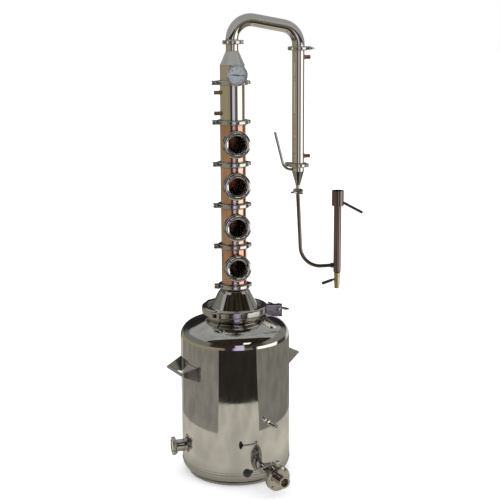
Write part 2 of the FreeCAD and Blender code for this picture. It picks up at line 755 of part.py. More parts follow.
def build_lid(save):
    high = joint_faces(LID_JOINT_Z)[1]
    top = COLUMN_JOINTS[0] - GASKET_HALF
    size = SIZES["four_inch"]
    wall = BOILER_WALL
    root = RIM_T + (size["rim"] - size["tube"]) * TAPER
    lid = turned([
        (NECK_R - wall, high),
        (LID_FERRULE_R, high),
        (LID_FERRULE_R, high + RIM_T),
        (NECK_R, high + RIM_T + (LID_FERRULE_R - NECK_R) * TAPER),
        (LID_CONE_R + 3, high + 6.5),
        (LID_CONE_R, LID_CONE_Z),
        (LID_CREASE_R, LID_CREASE_Z),
        (size["tube"], LID_NECK_Z),
        (size["tube"], top - root),
        (size["rim"], top - RIM_T),
        (size["rim"], top),
        (size["bore"], top),
        (size["bore"], LID_NECK_Z - 0.6),
        (LID_CREASE_R - wall, LID_CREASE_Z - 0.9),
        (LID_CONE_R - wall, LID_CONE_Z - 0.6),
        (LID_CONE_R - wall, high + 3.0),
        (NECK_R - wall, high + 3.0),
    ])
    save("lid_cone", lid)


# ---------------------------------------------------------------- column

def sight_place(shape, z):
    """Turns a shape made along +Z to point along -Y from the column's axis at height z."""
    return place(shape, V(0, 0, z), -Y_DIR, X_DIR)


def build_sections(save):
    sections, ferrules = [], []
    sockets, glasses, seals, nuts = [], [], [], []
    size = SIZES["four_inch"]
    inner = Part.makeCylinder(COPPER_R - COPPER_WALL, 2500)
    for low_joint, high_joint in zip(COLUMN_JOINTS[:4], COLUMN_JOINTS[1:5]):
        low = low_joint + GASKET_HALF
        high = high_joint - GASKET_HALF
        middle = (low + high) / 2
        tube = ring(COPPER_R, COPPER_R - COPPER_WALL, low + SECTION_FERRULE, high - SECTION_FERRULE)
        hole = rod(SIGHT_R + FIXED_GAP, V(0, 0, middle), V(0, -80, middle))
        sections.append(tube.cut(hole))
        bore = COPPER_R - COPPER_WALL
        for face, away in ((low, 1), (high, -1)):
            outline = ferrule_outline(size, face, away, SECTION_FERRULE, COPPER_R, bore)
            ferrules.append(turned(outline))
        sight_bore = SIGHT_R - SIGHT_WALL
        socket = turned([
            (sight_bore, 20),
            (SIGHT_R, 20),
            (SIGHT_R, 54),
            (SIGHT_THREAD_R, 58),
            (SIGHT_THREAD_R, SIGHT_SEAT),
            (sight_bore, SIGHT_SEAT),
        ])
        sockets.append(sight_place(socket, middle).cut(inner))
        seal_t = 1.5
        seals.append(sight_place(ring(GLASS_R, SIGHT_R - 2, SIGHT_SEAT, SIGHT_SEAT + seal_t), middle))
        glass_low = SIGHT_SEAT + seal_t
        glass_high = glass_low + GLASS_T
        glass = Part.makeCylinder(GLASS_R, GLASS_T, V(0, 0, glass_low))
        glasses.append(sight_place(glass, middle))
        thread = SIGHT_THREAD_R + FIXED_GAP
        front = glass_high + 4
        nut = turned([
            (thread, SIGHT_SEAT - 11),
            (SIGHT_NUT_R - 1, SIGHT_SEAT - 11),
            (SIGHT_NUT_R, SIGHT_SEAT - 10),
            (SIGHT_NUT_R, glass_high - 1),
            (SIGHT_NUT_R - 5, front, SIGHT_NUT_R - 1.2, glass_high + 2.7),
            (SIGHT_VIEW_R + 5, front),
            (SIGHT_VIEW_R, glass_high + 1),
            (SIGHT_VIEW_R, glass_high),
            (thread, glass_high),
        ])
        notch = box(
            SIGHT_VIEW_R + 4, SIGHT_NUT_R + 4, -SIGHT_NOTCH_HALF, SIGHT_NOTCH_HALF,
            front - SIGHT_NOTCH_DEPTH, front + 1)
        for angle in range(45, 360, 90):
            nut = nut.cut(notch.rotated(V(0, 0, 0), Z_DIR, angle))
        nuts.append(sight_place(nut, middle))
    save("column_sections", *sections)
    save("section_ferrules", *ferrules)
    save("sight_sockets", *sockets)
    save("sight_glasses", *glasses)
    save("sight_gaskets", *seals)
    save("sight_ring_nuts", *nuts)


def build_plates(save):
    """Bubble plates held in the joint gaskets, each with four capped risers and a downcomer."""
    plates, caps = [], []
    plate_r = 50.0 - FIXED_GAP
    for joint in COLUMN_JOINTS[:4]:
        disc = Part.makeCylinder(plate_r, 2 * GASKET_HALF, V(0, 0, joint - GASKET_HALF))
        holes, tubes = [], []
        for angle in range(30, 360, 90):
            a = math.radians(angle)
            at = V(CAP_CIRCLE * math.cos(a), CAP_CIRCLE * math.sin(a), joint - GASKET_HALF)
            holes.append(Part.makeCylinder(RISER_R - 1, 30, at - V(0, 0, 5)))
            tubes.append(Part.makeCylinder(RISER_R, 20, at))
            cup = turned([
                (RISER_R + 2, 5), (CAP_R, 5), (CAP_R, 24), (CAP_R - 3, 27, CAP_R - 0.9, 26.1),
                (0, 27), (0, 25), (CAP_R - 3, 25), (RISER_R + 2, 23.5)])
            for turn in range(0, 180, 45):
                slot = box(-20, 20, -1.0, 1.0, 4, 12).rotated(V(0, 0, 0), Z_DIR, turn)
                cup = cup.cut(slot)
            post = Part.makeCylinder(1.5, 4.9, V(0, 0, 20.1))
            bridge = box(-RISER_R, RISER_R, -1, 1, 20.1, 22)
            caps.append(fuse(cup, post, bridge).translated(at))
        down = V(0, 0, joint - 22)
        tubes.append(Part.makeCylinder(6.4, 40, down))
        holes.append(Part.makeCylinder(5.4, 60, down - V(0, 0, 5)))
        plates.append(disc.fuse(tubes).cut(holes).removeSplitter())
    save("bubble_plates", *plates)
    save("bubble_caps", *caps)


def tube_bundle(shell_bore, low, high, tube_r, tube_bore, places):
    """Two tube sheets joined by open tubes."""
    sheet_t = 4.0
    sheets = [
        Part.makeCylinder(shell_bore - FIXED_GAP, sheet_t, V(0, 0, low)),
        Part.makeCylinder(shell_bore - FIXED_GAP, sheet_t, V(0, 0, high - sheet_t)),
    ]
    tubes = [Part.makeCylinder(tube_r, high - low, V(x, y, low)) for x, y in places]
    bores = [Part.makeCylinder(tube_bore, high - low + 4, V(x, y, low - 2)) for x, y in places]
    return sheets[0].fuse([sheets[1]] + tubes).cut(bores).removeSplitter()


def build_exchangers(save):
    """The dephlegmator and the condenser, each a water-jacketed bundle of tubes."""
    stubs = []
    size = SIZES["four_inch"]
    low = COLUMN_JOINTS[4] + GASKET_HALF
    high = COLUMN_JOINTS[5] - GASKET_HALF
    lower = ferrule_outline(size, low, 1, 30)
    upper = ferrule_outline(size, high, -1, 30)
    shell = turned(lower[:5] + upper[4::-1])
    for z in DEPHLEG_STUB_Z:
        shell = shell.cut(rod(STUB_R + FIXED_GAP, V(0, 0, z), V(-90, 0, z)))
        stubs.append(water_stub(V(0, 0, z), -X_DIR, size))
    save("dephlegmator_shell", shell)
    circle = [
        (30 * math.cos(math.radians(a)), 30 * math.sin(math.radians(a)))
        for a in range(0, 360, 60)]
    bundle = tube_bundle(size["bore"], low + 11, high - 11, 9.5, 8.3, circle + [(0, 0)])
    save("dephlegmator_bundle", bundle)

    size = SIZES["two_inch"]
    low = CONDENSER_BOTTOM_Z + GASKET_HALF
    high = CONDENSER_TOP_Z - GASKET_HALF
    lower = ferrule_outline(size, low, 1, 30)
    upper = ferrule_outline(size, high, -1, 30)
    shell = turned(lower[:5] + upper[4::-1])
    for z in CONDENSER_STUB_Z:
        shell = shell.cut(rod(STUB_R + FIXED_GAP, V(0, 0, z), V(60, 0, z)))
        stubs.append(water_stub(V(0, 0, z), X_DIR, size).translated(V(CONDENSER_X, 0, 0)))
    save("condenser_shell", shell.translated(V(CONDENSER_X, 0, 0)))
    circle = [
        (13.5 * math.cos(math.radians(a)), 13.5 * math.sin(math.radians(a)))
        for a in range(30, 360, 120)]
    bundle = tube_bundle(size["bore"], low + 11, high - 11, 6.35, 5.3, circle)
    save("condenser_bundle", bundle.translated(V(CONDENSER_X, 0, 0)))
    save("water_stubs", *stubs)


def water_stub(centre, direction, size):
    """A copper hose stub whose collar is brazed to the outside of a shell."""
    root = size["bore"] - 1.0
    face = size["tube"] + STUB_COLLAR
    tip = size["tube"] + STUB_REACH
    spigot = ring(STUB_R - FIXED_GAP, STUB_BORE, root, face)
    spigot = place(spigot, centre, direction, Z_DIR).cut(
        Part.makeCylinder(size["bore"], 60, centre - V(0, 0, 30)))
    stub = turned([
        (STUB_BORE, root), (STUB_COLLAR_R, root), (STUB_COLLAR_R, face - 1.2),
        (STUB_COLLAR_R - 1.2, face),
        (STUB_R, face), (STUB_R, tip - 0.6), (STUB_R - 0.6, tip), (STUB_BORE, tip)])
    stub = place(stub, centre, direction, Z_DIR).cut(
        Part.makeCylinder(size["tube"], 60, centre - V(0, 0, 30)))
    return fuse(stub, spigot)


def build_head(save):
    big = SIZES["four_inch"]
    small = SIZES["two_inch"]
    low = COLUMN_JOINTS[5] + GASKET_HALF
    high = ARM_JOINT_Z - GASKET_HALF
    lower = ferrule_outline(big, low, 1, HEAD_CONE_Z - low)
    upper = ferrule_outline(small, high, -1, high - HEAD_NECK_Z)
    head = turned(lower[:5] + upper[4::-1] + [
        (small["bore"], HEAD_NECK_Z + 0.4),
        (big["bore"], HEAD_CONE_Z + 0.4),
    ])
    boss = turned([(STEM_R + 1, 46), (10, 46), (10, 60), (8.5, 62), (STEM_R + 1, 62)])
    boss = place(boss, V(0, 0, DIAL_Z), -Y_DIR, X_DIR)
    hole = rod(STEM_R + 1, V(0, 0, DIAL_Z), V(0, -80, DIAL_Z))
    head = fuse(head, boss.cut(Part.makeCylinder(big["bore"], 2500))).cut(hole)
    save("head_reducer", head)

    case = turned([
        (0, DIAL_BACK - 1),
        (DIAL_R - 4, DIAL_BACK - 1),
        (DIAL_R - 1, DIAL_BACK + 2, DIAL_R - 1.9, DIAL_BACK - 0.1),
        (DIAL_R - 1, DIAL_FACE - 6),
        (DIAL_R, DIAL_FACE - 5.5),
        (DIAL_R, DIAL_FACE - 1),
        (DIAL_R - 1.6, DIAL_FACE, DIAL_R - 0.5, DIAL_FACE - 0.3),
        (DIAL_R - 3.6, DIAL_FACE - 1.6),
        (DIAL_R - 3.6, DIAL_FACE - 2.2),
        (DIAL_R - 2.0, DIAL_FACE - 2.2),
        (DIAL_R - 2.0, DIAL_BACK + 1),
        (0, DIAL_BACK + 1),
    ])
    hexagon = [
        (11 * math.cos(math.radians(60 * i)), 11 * math.sin(math.radians(60 * i)))
        for i in range(6)]
    nut = plate(hexagon, 62.2, 72)
    neck = Part.makeCylinder(7, DIAL_BACK - 71, V(0, 0, 71))
    stem = Part.makeCylinder(STEM_R, DIAL_BACK - 10, V(0, 0, 10))
    case = fuse(case, nut, neck, stem)
    pivot_hole = Part.makeCylinder(SPINDLE_R + RUNNING_GAP, 1.4, V(0, 0, DIAL_BACK - 0.2))
    save("thermometer_case", sight_place(case.cut(pivot_hole), DIAL_Z))
    dial = ring(DIAL_R - 2.2, SPINDLE_R + RUNNING_GAP, DIAL_BACK + 3, DIAL_BACK + 4)
    rim = ring(DIAL_R - 2.2, DIAL_R - 4, DIAL_BACK + 1, DIAL_BACK + 3)
    save("thermometer_dial", sight_place(fuse(dial, rim), DIAL_Z))
    lens = Part.makeCylinder(DIAL_R - 2.2, 2.0, V(0, 0, DIAL_FACE - 4.3))
    save("thermometer_lens", sight_place(lens, DIAL_Z))
    face = DIAL_BACK + 4 + FACE_GAP
    spindle = Part.makeCylinder(SPINDLE_R, face - DIAL_BACK + 1, V(0, 0, DIAL_BACK))
    hub = Part.makeCylinder(2.4, 2.0, V(0, 0, face))
    pointer = plate(
        [(-19, 2.2), (6, 2.4), (13, 0.9), (33, 0.5), (33, -0.5), (13, -0.9), (6, -2.4), (-19, -2.2)],
        face + 0.6, face + 1.4)
    pointer.rotate(V(0, 0, 0), Z_DIR, NEEDLE_REST)
    save("thermometer_needle", sight_place(fuse(spindle, hub, pointer), DIAL_Z))


def build_arm(save):
    size = SIZES["two_inch"]
    low = ARM_JOINT_Z + GASKET_HALF
    wire, end, heading = path_wire(V(0, 0, ARM_BEND_Z), 90, [
        ("bend", ARM_BEND_R, -(90 + ARM_SLOPE)),
        ("run", ARM_RUN),
        ("bend", ARM_BEND_R, -(90 - ARM_SLOPE)),
    ])
    arm = pipe_along(wire, size["tube"], size["bore"])
    start = turned(ferrule_outline(size, low, 1, ARM_BEND_Z - low))
    face = CONDENSER_TOP_Z + GASKET_HALF
    finish = turned(ferrule_outline(size, face, 1, end.z - face)).translated(V(end.x, 0, 0))
    print("arm ends at x %.2f z %.2f heading %.1f" % (end.x, end.z, heading))
    save("arm_tube", fuse(arm, start, finish))


def build_outlet(save):
    size = SIZES["two_inch"]
    mini = SIZES["mini"]
    high = CONDENSER_BOTTOM_Z - GASKET_HALF
    low = OUTLET_JOINT_Z + GASKET_HALF
    upper = ferrule_outline(size, high, -1, high - OUTLET_CONE_Z)
    lower = ferrule_outline(mini, low, 1, OUTLET_NECK_Z - low)
    reducer = turned(upper[:5] + lower[4::-1] + [
        (mini["bore"], OUTLET_NECK_Z + 0.6),
        (size["bore"], OUTLET_CONE_Z + 0.6),
    ]).translated(V(CONDENSER_X, 0, 0))
    vent_hole = rod(VENT_R + FIXED_GAP, V(CONDENSER_X, 0, VENT_Z), V(CONDENSER_X - 40, 0, VENT_Z))
    save("outlet_reducer", reducer.cut(vent_hole))

    run = size["tube"] + 3.5
    bend_x = CONDENSER_X - run
    turn = 90 - VENT_LEAN
    rise = VENT_BEND_R * (1 - math.cos(math.radians(turn)))
    climb = (VENT_TOP_Z - VENT_Z - rise) / math.cos(math.radians(VENT_LEAN))
    wire, end, _ = path_wire(V(CONDENSER_X - size["bore"] + 1.5, 0, VENT_Z), 180, [
        ("run", CONDENSER_X - size["bore"] + 1.5 - bend_x),
        ("bend", VENT_BEND_R, -turn),
        ("run", climb),
    ])
    vent = pipe_along(wire, VENT_R, VENT_R - 1.0)
    bore = Part.makeCylinder(size["bore"], 100, V(CONDENSER_X, 0, VENT_Z - 50))
    save("vent_tube", vent.cut(bore))
    print("vent tip at x %.1f z %.1f" % (end.x, end.z))


def build_parrot(save):
    mini = SIZES["mini"]
    bore = DELIVERY_R - DELIVERY_WALL
    top = OUTLET_JOINT_Z - GASKET_HALF
    ferrule = turned(ferrule_outline(mini, top, -1, 12.0, DELIVERY_R, bore))
    ferrule.translate(V(CONDENSER_X, 0, 0))
    bend = DELIVERY_BEND_R
    lean = math.radians(DELIVERY_LEAN)
    start_z = top - 12.0
    small = 60.0
    small_drop = small * math.sin(lean)
    drop = start_z - PARROT_INLET_Z - small_drop - bend * (1 - math.sin(lean))
    straight = drop / math.cos(lean)
    wire, end, _ = path_wire(V(CONDENSER_X, 0, start_z), -90, [
        ("bend", small, DELIVERY_LEAN),
        ("run", straight),
        ("bend", bend, 90 - DELIVERY_LEAN),
    ])
    socket_x = PARROT_X - PARROT_R - 12
    tail = Part.LineSegment(end, V(socket_x + 8, 0, PARROT_INLET_Z)).toShape()
    wire = Part.Wire(wire.Edges + [tail])
    tube = pipe_along(wire, DELIVERY_R, bore)
    save("delivery_tube", fuse(ferrule, tube))
    print("delivery tube turns level at x %.1f z %.1f" % (end.x, end.z))

    # Standing tube with its side socket and closed foot.
    inside = PARROT_R - PARROT_WALL
    stand = turned([
        (4.0, PARROT_BOTTOM_Z), (PARROT_R - 4, PARROT_BOTTOM_Z),
        (PARROT_R, PARROT_BOTTOM_Z + 4, PARROT_R - 1.2, PARROT_BOTTOM_Z + 1.2),
        (PARROT_R, PARROT_LIP_Z), (inside, PARROT_LIP_Z),
        (inside, PARROT_BOTTOM_Z + 3), (4.0, PARROT_BOTTOM_Z + 3),
    ]).translated(V(PARROT_X, 0, 0))
    neck = turned([
        (4.0, PARROT_BOTTOM_Z - 12), (7.0, PARROT_BOTTOM_Z - 12),
        (7.0, PARROT_BOTTOM_Z + 1), (4.0, PARROT_BOTTOM_Z + 1),
    ]).translated(V(PARROT_X, 0, 0))
    socket = rod(11.0, V(socket_x, 0, PARROT_INLET_Z), V(PARROT_X - 8, 0, PARROT_INLET_Z))
    socket = socket.cut(Part.makeCylinder(inside, 200, V(PARROT_X, 0, PARROT_INLET_Z - 100)))
    seat = rod(DELIVERY_R + FIXED_GAP, V(socket_x - 1, 0, PARROT_INLET_Z),
               V(socket_x + 8, 0, PARROT_INLET_Z))
    passage = rod(bore, V(socket_x, 0, PARROT_INLET_Z), V(PARROT_X, 0, PARROT_INLET_Z))
    save("parrot_tube", fuse(stand, neck, socket).cut([seat, passage]))

    # Overflow cup round the tube's lip, and its drip spout.
    wall = 1.5
    slope = math.atan2(SPOUT_DROP, SPOUT_REACH)
    cup = turned([
        (PARROT_R + FIXED_GAP, CUP_BOTTOM_Z), (CUP_R - 2, CUP_BOTTOM_Z),
        (CUP_R, CUP_BOTTOM_Z + 2, CUP_R - 0.6, CUP_BOTTOM_Z + 0.6),
        (CUP_R, CUP_TOP_Z), (CUP_R - wall, CUP_TOP_Z),
        (CUP_R - wall, CUP_BOTTOM_Z + wall), (PARROT_R + FIXED_GAP, CUP_BOTTOM_Z + wall),
    ]).translated(V(PARROT_X, 0, 0))
    root_z = CUP_BOTTOM_Z + 11
    root = V(PARROT_X + CUP_R - 6, 0, root_z + 6 * math.tan(slope))
    tip = V(PARROT_X + CUP_R + SPOUT_REACH, 0, root_z - SPOUT_DROP)
    hollow = Part.makeCylinder(CUP_R - wall, 200, V(PARROT_X, 0, CUP_BOTTOM_Z + wall))
    spout = rod(SPOUT_R, root, tip).cut(hollow)
    channel = rod(SPOUT_R - 1.0, root - (tip - root) * 0.05, tip + (tip - root) * 0.05)
    keep_inside = Part.makeCylinder(PARROT_R + 3, 300, V(PARROT_X, 0, CUP_BOTTOM_Z - 50))
    save("parrot_cup", fuse(cup, spout).cut(channel.cut(keep_inside)))
    print("spout tip", tip)

    build_parrot_valve(save)


def build_parrot_valve(save):
    """A brass ball valve below the parrot: body, turning ball with stem, and lever behind it."""
    centre = V(PARROT_X, 0, PARROT_VALVE_Z)
    top = PARROT_BOTTOM_Z - 12 - PARROT_VALVE_Z
    stem_r = 3.0
    gland_end = 18.5
    stem_end = 25.0
    body = turned([
        (4.5, -NIPPLE_END), (NIPPLE_R, -NIPPLE_END), (NIPPLE_R, -18), (12.0, -15.5), (12.0, 15),
        (13.2, 16), (13.2, top + 9), (7.1, top + 9), (7.1, top - 0.2), (4.5, top - 0.2)])
    chamber = Part.makeSphere(BALL_R + RUNNING_GAP)
    gland = rod(7.5, V(0, 8, 0), V(0, gland_end, 0))
    stem_hole = rod(stem_r + RUNNING_GAP, V(0, 0, 0), V(0, gland_end + 5, 0))
    body = fuse(body, gland).cut([chamber, stem_hole])
    save("parrot_valve_body", body.translated(centre))
    ball = Part.makeSphere(BALL_R)
    stem = rod(stem_r, V(0, 5, 0), V(0, stem_end, 0))
    bore = rod(BALL_BORE_R, V(-12, 0, 0), V(12, 0, 0))
    ball = fuse(ball, stem).cut(bore)
    save("parrot_valve_ball", ball.translated(centre))
    fall = math.radians(16)
    reach = V(-math.cos(fall), 0, -math.sin(fall))
    hub = rod(7.0, V(0, gland_end + FACE_GAP, 0), V(0, stem_end - 1, 0))
    arm_start = V(0, (gland_end + stem_end) / 2, 0)
    blade = place(
        box(-4.5, 4.5, -1.6, 1.6, 0, 20), arm_start, reach, V(-reach.z, 0, reach.x))
    grip = place(
        turned([(0, 14), (5.0, 14), (6.4, 18), (6.6, 58), (4.8, 62, 6.0, 61), (0, 62)]),
        arm_start, reach, Y_DIR)
    hole = rod(stem_r + FIXED_GAP, V(0, 10, 0), V(0, stem_end + 5, 0))
    lever = fuse(hub, blade, grip).cut(hole)
    save("parrot_lever", lever.translated(centre))


# ---------------------------------------------------------------- drain valve

def build_drain_valve(save):
    """A butterfly valve made along Z, with its stem on +X, placed on the drain port."""
    size = SIZES["inch_half"]
    origin = V(0, 0, DRAIN_Z)
    outward = ground_dir(DRAIN_AZ)
    near = DRAIN_JOINT + GASKET_HALF
    inlet = ferrule_outline(size, near, 1, VALVE_MID - near)
    outlet = ferrule_outline(size, VALVE_FACE, -1, VALVE_FACE - VALVE_MID)
    core = turned(inlet[:5] + outlet[4::-1])
    soft = 3.0
    low = VALVE_MID - VALVE_HALF
    high = VALVE_MID + VALVE_HALF
    flange = turned([
        (size["bore"] + 0.5, low),
        (VALVE_R - soft - 9, low),
        (VALVE_R - soft, low + 2.5),
        (VALVE_R, low + 2.5 + soft, VALVE_R - 0.9, low + 3.4),
        (VALVE_R, high - 2.5 - soft),
        (VALVE_R - soft, high - 2.5, VALVE_R - 0.9, high - 3.4),
        (VALVE_R - soft - 9, high),
        (size["bore"] + 0.5, high),
    ])
    groove = ring(VALVE_R + 5, VALVE_R - 2.5, VALVE_MID - 1.2, VALVE_MID + 1.2)
    boss = rod(10.0, V(40, 0, VALVE_MID), V(VALVE_R + 8, 0, VALVE_MID))
    stem_hole = rod(
        VALVE_STEM_R + RUNNING_GAP, V(-VALVE_R + 8, 0, VALVE_MID), V(VALVE_R + 20, 0, VALVE_MID))
    body = fuse(core, flange, boss).cut([groove.cut(boss), stem_hole])
    bolts = []
    for angle in range(45, 360, 90):
        a = math.radians(angle)
        at = V(43 * math.cos(a), 43 * math.sin(a), high - 1.5)
        bolts.append(Part.makeCylinder(5.5, 6.5, at))
    body = fuse(body, *bolts)
    bore_cut = Part.makeCylinder(size["bore"], 200, V(0, 0, VALVE_MID - 100))
    body = body.cut(bore_cut)
    save("drain_valve_body", place(body, origin, outward, Z_DIR))

    disc_r = size["bore"] - 0.35
    disc = Part.makeCylinder(disc_r, 4.0, V(0, 0, VALVE_MID - 2))
    rim_keep = Part.makeSphere(disc_r, V(0, 0, VALVE_MID))
    disc = disc.common(rim_keep)
    top = VALVE_STEM_Z - DRAIN_Z
    stem = rod(VALVE_STEM_R, V(-VALVE_R + 9, 0, VALVE_MID), V(top, 0, VALVE_MID))
    spindle = fuse(disc, stem)
    save("drain_valve_disc", place(spindle, origin, outward, Z_DIR))

    # The lever lies across the pipe when the valve is shut.
    hub_low = VALVE_R + 8 + FACE_GAP
    hub = rod(9.0, V(hub_low, 0, VALVE_MID), V(top - 1, 0, VALVE_MID))
    fall = math.radians(LEVER_FALL)
    reach = V(-math.sin(fall), math.cos(fall), 0)
    start = V(hub_low + 6, 0, VALVE_MID)
    handle = rod(4.0, start, start + reach * (LEVER_LENGTH - 10))
    hole = rod(VALVE_STEM_R + FIXED_GAP, V(0, 0, VALVE_MID), V(top + 5, 0, VALVE_MID))
    lever = fuse(hub, handle).cut(hole)
    save("drain_lever", place(lever, origin, outward, Z_DIR))
    knob_at = start + reach * LEVER_LENGTH
    socket = rod(4.0 + FIXED_GAP, start, start + reach * (LEVER_LENGTH - 10 + FIXED_GAP))
    collar = rod(7.5, knob_at - reach * 22, knob_at)
    knob = fuse(Part.makeSphere(KNOB_R, knob_at), collar).cut(socket)
    save("drain_knob", place(knob, origin, outward, Z_DIR))


# ---------------------------------------------------------------- export

def save(name, *shapes):
    """Writes one node's solids to its STEP file and reports them."""
    solids = []
    for shape in shapes:
        solids += shape.Solids
    whole = solids[0] if len(solids) == 1 else Part.makeCompound(solids)
    valid = all(solid.isValid() for solid in solids)
    box_of = whole.BoundBox
    print("%-24s %3d solids %10.0f mm3 %s  z %.1f..%.1f" % (
        name, len(solids), whole.Volume, "ok" if valid else "INVALID", box_of.ZMin, box_of.ZMax))
    whole.exportStep("parts/%s.step" % name)


def main():
    os.makedirs("parts", exist_ok=True)
    builders = (
        build_boiler, build_handles, build_lid, build_sections, build_plates, build_exchangers,
        build_head, build_arm, build_outlet, build_parrot, build_drain_valve, build_gaskets,
        build_clamps)
    for builder in builders:
        builder(save)


main()
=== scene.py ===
import json
import math
import random

import bmesh
import bpy
from mathutils import Matrix, Vector


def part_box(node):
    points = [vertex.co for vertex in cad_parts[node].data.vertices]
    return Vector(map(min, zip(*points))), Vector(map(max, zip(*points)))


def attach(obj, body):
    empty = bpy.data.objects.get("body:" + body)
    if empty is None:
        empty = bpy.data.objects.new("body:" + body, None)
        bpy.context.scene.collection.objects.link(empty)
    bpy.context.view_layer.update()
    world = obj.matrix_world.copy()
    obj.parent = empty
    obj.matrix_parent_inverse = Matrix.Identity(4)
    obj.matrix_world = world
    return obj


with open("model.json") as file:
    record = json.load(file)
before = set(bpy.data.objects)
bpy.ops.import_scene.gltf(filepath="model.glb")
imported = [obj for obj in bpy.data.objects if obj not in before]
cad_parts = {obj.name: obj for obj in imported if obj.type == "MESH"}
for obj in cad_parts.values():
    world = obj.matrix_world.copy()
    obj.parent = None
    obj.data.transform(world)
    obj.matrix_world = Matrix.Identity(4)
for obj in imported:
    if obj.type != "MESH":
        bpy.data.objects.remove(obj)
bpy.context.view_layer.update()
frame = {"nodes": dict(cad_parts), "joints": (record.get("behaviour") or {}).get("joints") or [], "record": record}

NODES = frame["nodes"]
UP = Vector((0, 0, 1))

# Sizes of the CAD part that the detail pieces sit on, in metres.
DRUM_R = 0.230
SEAM_Z = 0.054
SEAM_STEP = 0.010
DISC_R = 0.2045
DISC_TOP = 0.0125
COPPER_R = 0.0524
STEEL_R = 0.0508
PIPE_R = 0.0254
OUTLET_R = 0.0095
COLUMN_JOINTS = (0.810, 0.980, 1.150, 1.320, 1.490)
SIGHT_HEIGHTS = (0.895, 1.065, 1.235, 1.405)
SOCKET_R = 0.0380
LID_CONE_TOP = 0.8035
HEAD_CONE_LOW = 1.718
HEAD_CONE_HIGH = 1.773
ARM_START_Z = 1.8185
ARM_END_Z = 1.7950
CONDENSER_X = 0.275
OUTLET_CONE_HIGH = 1.279
OUTLET_CONE_LOW = 1.222
PARROT_X = 0.450
PARROT_R = 0.0159
PARROT_INLET_Z = 0.869
PARROT_SOCKET_R = 0.0110

# Pipes in the boiler's wall: azimuth in degrees, height, radius of the pipe and of its weld bead.
BOILER_PORTS = (
    (-90, 0.120, PIPE_R, 0.0024),
    (23, 0.270, 0.0090, 0.0018),
    (16.5, 0.077, 0.01905, 0.0022),
)

# Water stubs.
STUB_R = 0.00795
STUB_COLLAR_R = 0.0102
COLUMN_STUBS = (1.526, 1.609)
CONDENSER_STUBS = (1.342, 1.745)
HOSE_BEADS = ((0.0215, 0.0011), (0.0140, 0.0008))    # distance from the shell, and bead radius

# Handles: where a leg's line starts and ends, as distance out and to the side.
HANDLE_AZIMUTHS = (-74, 111)
HANDLE_FOOT = (0.200, 0.092)
HANDLE_GRIP = (0.282, 0.066)
HANDLE_LOW = 0.444
HANDLE_HIGH = 0.508
HANDLE_BEAD_SIDE = 0.0019

# Solder, threads and the ring nuts' crowns.
SOLDER_STEP = 0.0128
THREAD_PITCH = 0.00125
THREAD_CREST = 0.00030
LID_THREAD = (0.0095, 0.0060, 0.0330)      # start past the nut's centre, radius and length
CLAMP_THREAD = (0.0062, 0.0040, 0.0130)
NUT_INNER_R = 0.036
NUT_OUTER_R = 0.056
NUT_CROWN = 0.0032
CROWN_SINK = 0.0004
NOTCH_HALF = 0.0025

# The thermometer's printed face. Angles are in degrees, clockwise from the top.
DIAL_Z = 1.680
DIAL_FACE = 0.082
DIAL_START = -135.0
DIAL_SWEEP = 270.0
DIAL_MARKS = 60
MARKS_PER_LONG = 5
MARKS_PER_NUMBER = 10
DEGREES_PER_MARK = 2
LONG_MARK_R = 0.0315
SHORT_MARK_R = 0.0335
MARK_OUTER_R = 0.0360
DIAL_RING = (0.0366, 0.0374)
DIAL_RING_STEPS = 120
PRINT_LIFT = 0.0002
NUMBER_R = 0.0255
NUMBER_SIZE = 0.0075
NUMBER_LIFT = 0.0003

# The camera stands in front of the still, a little to its left, and looks down on the boiler.
CAMERA_AZIMUTH = math.radians(-12.5)
CAMERA_DISTANCE = 4.27
CAMERA_HEIGHT = 1.874
CAMERA_PITCH = math.radians(12.1)
CAMERA_YAW = math.radians(0.888)
CAMERA_ROLL = math.radians(-0.372)
CAMERA_LENS = 75.6

# The brown-black colour painted into corners of the metal and under rims as shade.
PAINTED_SHADE_COLOUR = (0.035, 0.030, 0.026)

# The studio's sheets.
FLOOR_SIZE = 60.0
FLOOR_REACH = 2.6
SIDE_FLOOR_START = 0.8
FRONT_FLOOR_START = 1.2
CARD_LIFT = 0.002
# Painted shadow: the glow of the sheet under the boiler is dimmed near the axis.
SHADED_REACH = (0.21, 0.44)    # from where to where the sheet under the boiler brightens
SHADED_SHARE = 0.42
CEILING_Z = 1.95
CEILING_REACH = 2.4
CEILING_FRONT = -3.6
CEILING_SPLIT = -0.5


def polar(azimuth, radius, z):
    """A point around the column's axis. Azimuth is in degrees, from -Y towards +X."""
    turn = math.radians(azimuth)
    return Vector((radius * math.sin(turn), -radius * math.cos(turn), z))


# ---------------------------------------------------------------- node helpers


def new_material(name):
    material = bpy.data.materials.new(name)
    material.use_nodes = True
    tree = material.node_tree
    shader = tree.nodes["Principled BSDF"]
    return material, tree, shader


def add_node(tree, kind, **settings):
    node = tree.nodes.new(kind)
    for key, value in settings.items():
        setattr(node, key, value)
    return node


def object_noise(tree, scale, detail=3.0, stretch=(1, 1, 1), roughness=0.5):
    """Noise in the object's own space, in metres, stretched along the axes."""
    coords = add_node(tree, "ShaderNodeTexCoord")
    mapping = add_node(tree, "ShaderNodeMapping")
    mapping.inputs["Scale"].default_value = stretch
    noise = add_node(tree, "ShaderNodeTexNoise")
    noise.inputs["Scale"].default_value = scale
    noise.inputs["Detail"].default_value = detail
    noise.inputs["Roughness"].default_value = roughness
    tree.links.new(coords.outputs["Object"], mapping.inputs["Vector"])
    tree.links.new(mapping.outputs["Vector"], noise.inputs["Vector"])
    return noise.outputs["Fac"]


def ramp(tree, source, stops):
    """A colour ramp from (place, colour) stops."""
    node = add_node(tree, "ShaderNodeValToRGB")
    elements = node.color_ramp.elements
    while len(elements) > len(stops):
        elements.remove(elements[-1])
    while len(elements) < len(stops):
        elements.new(1.0)
    for element, (place, colour) in zip(elements, stops):
        element.position = place
        element.color = (*colour, 1.0)
    tree.links.new(source, node.inputs["Fac"])
    return node.outputs["Color"]


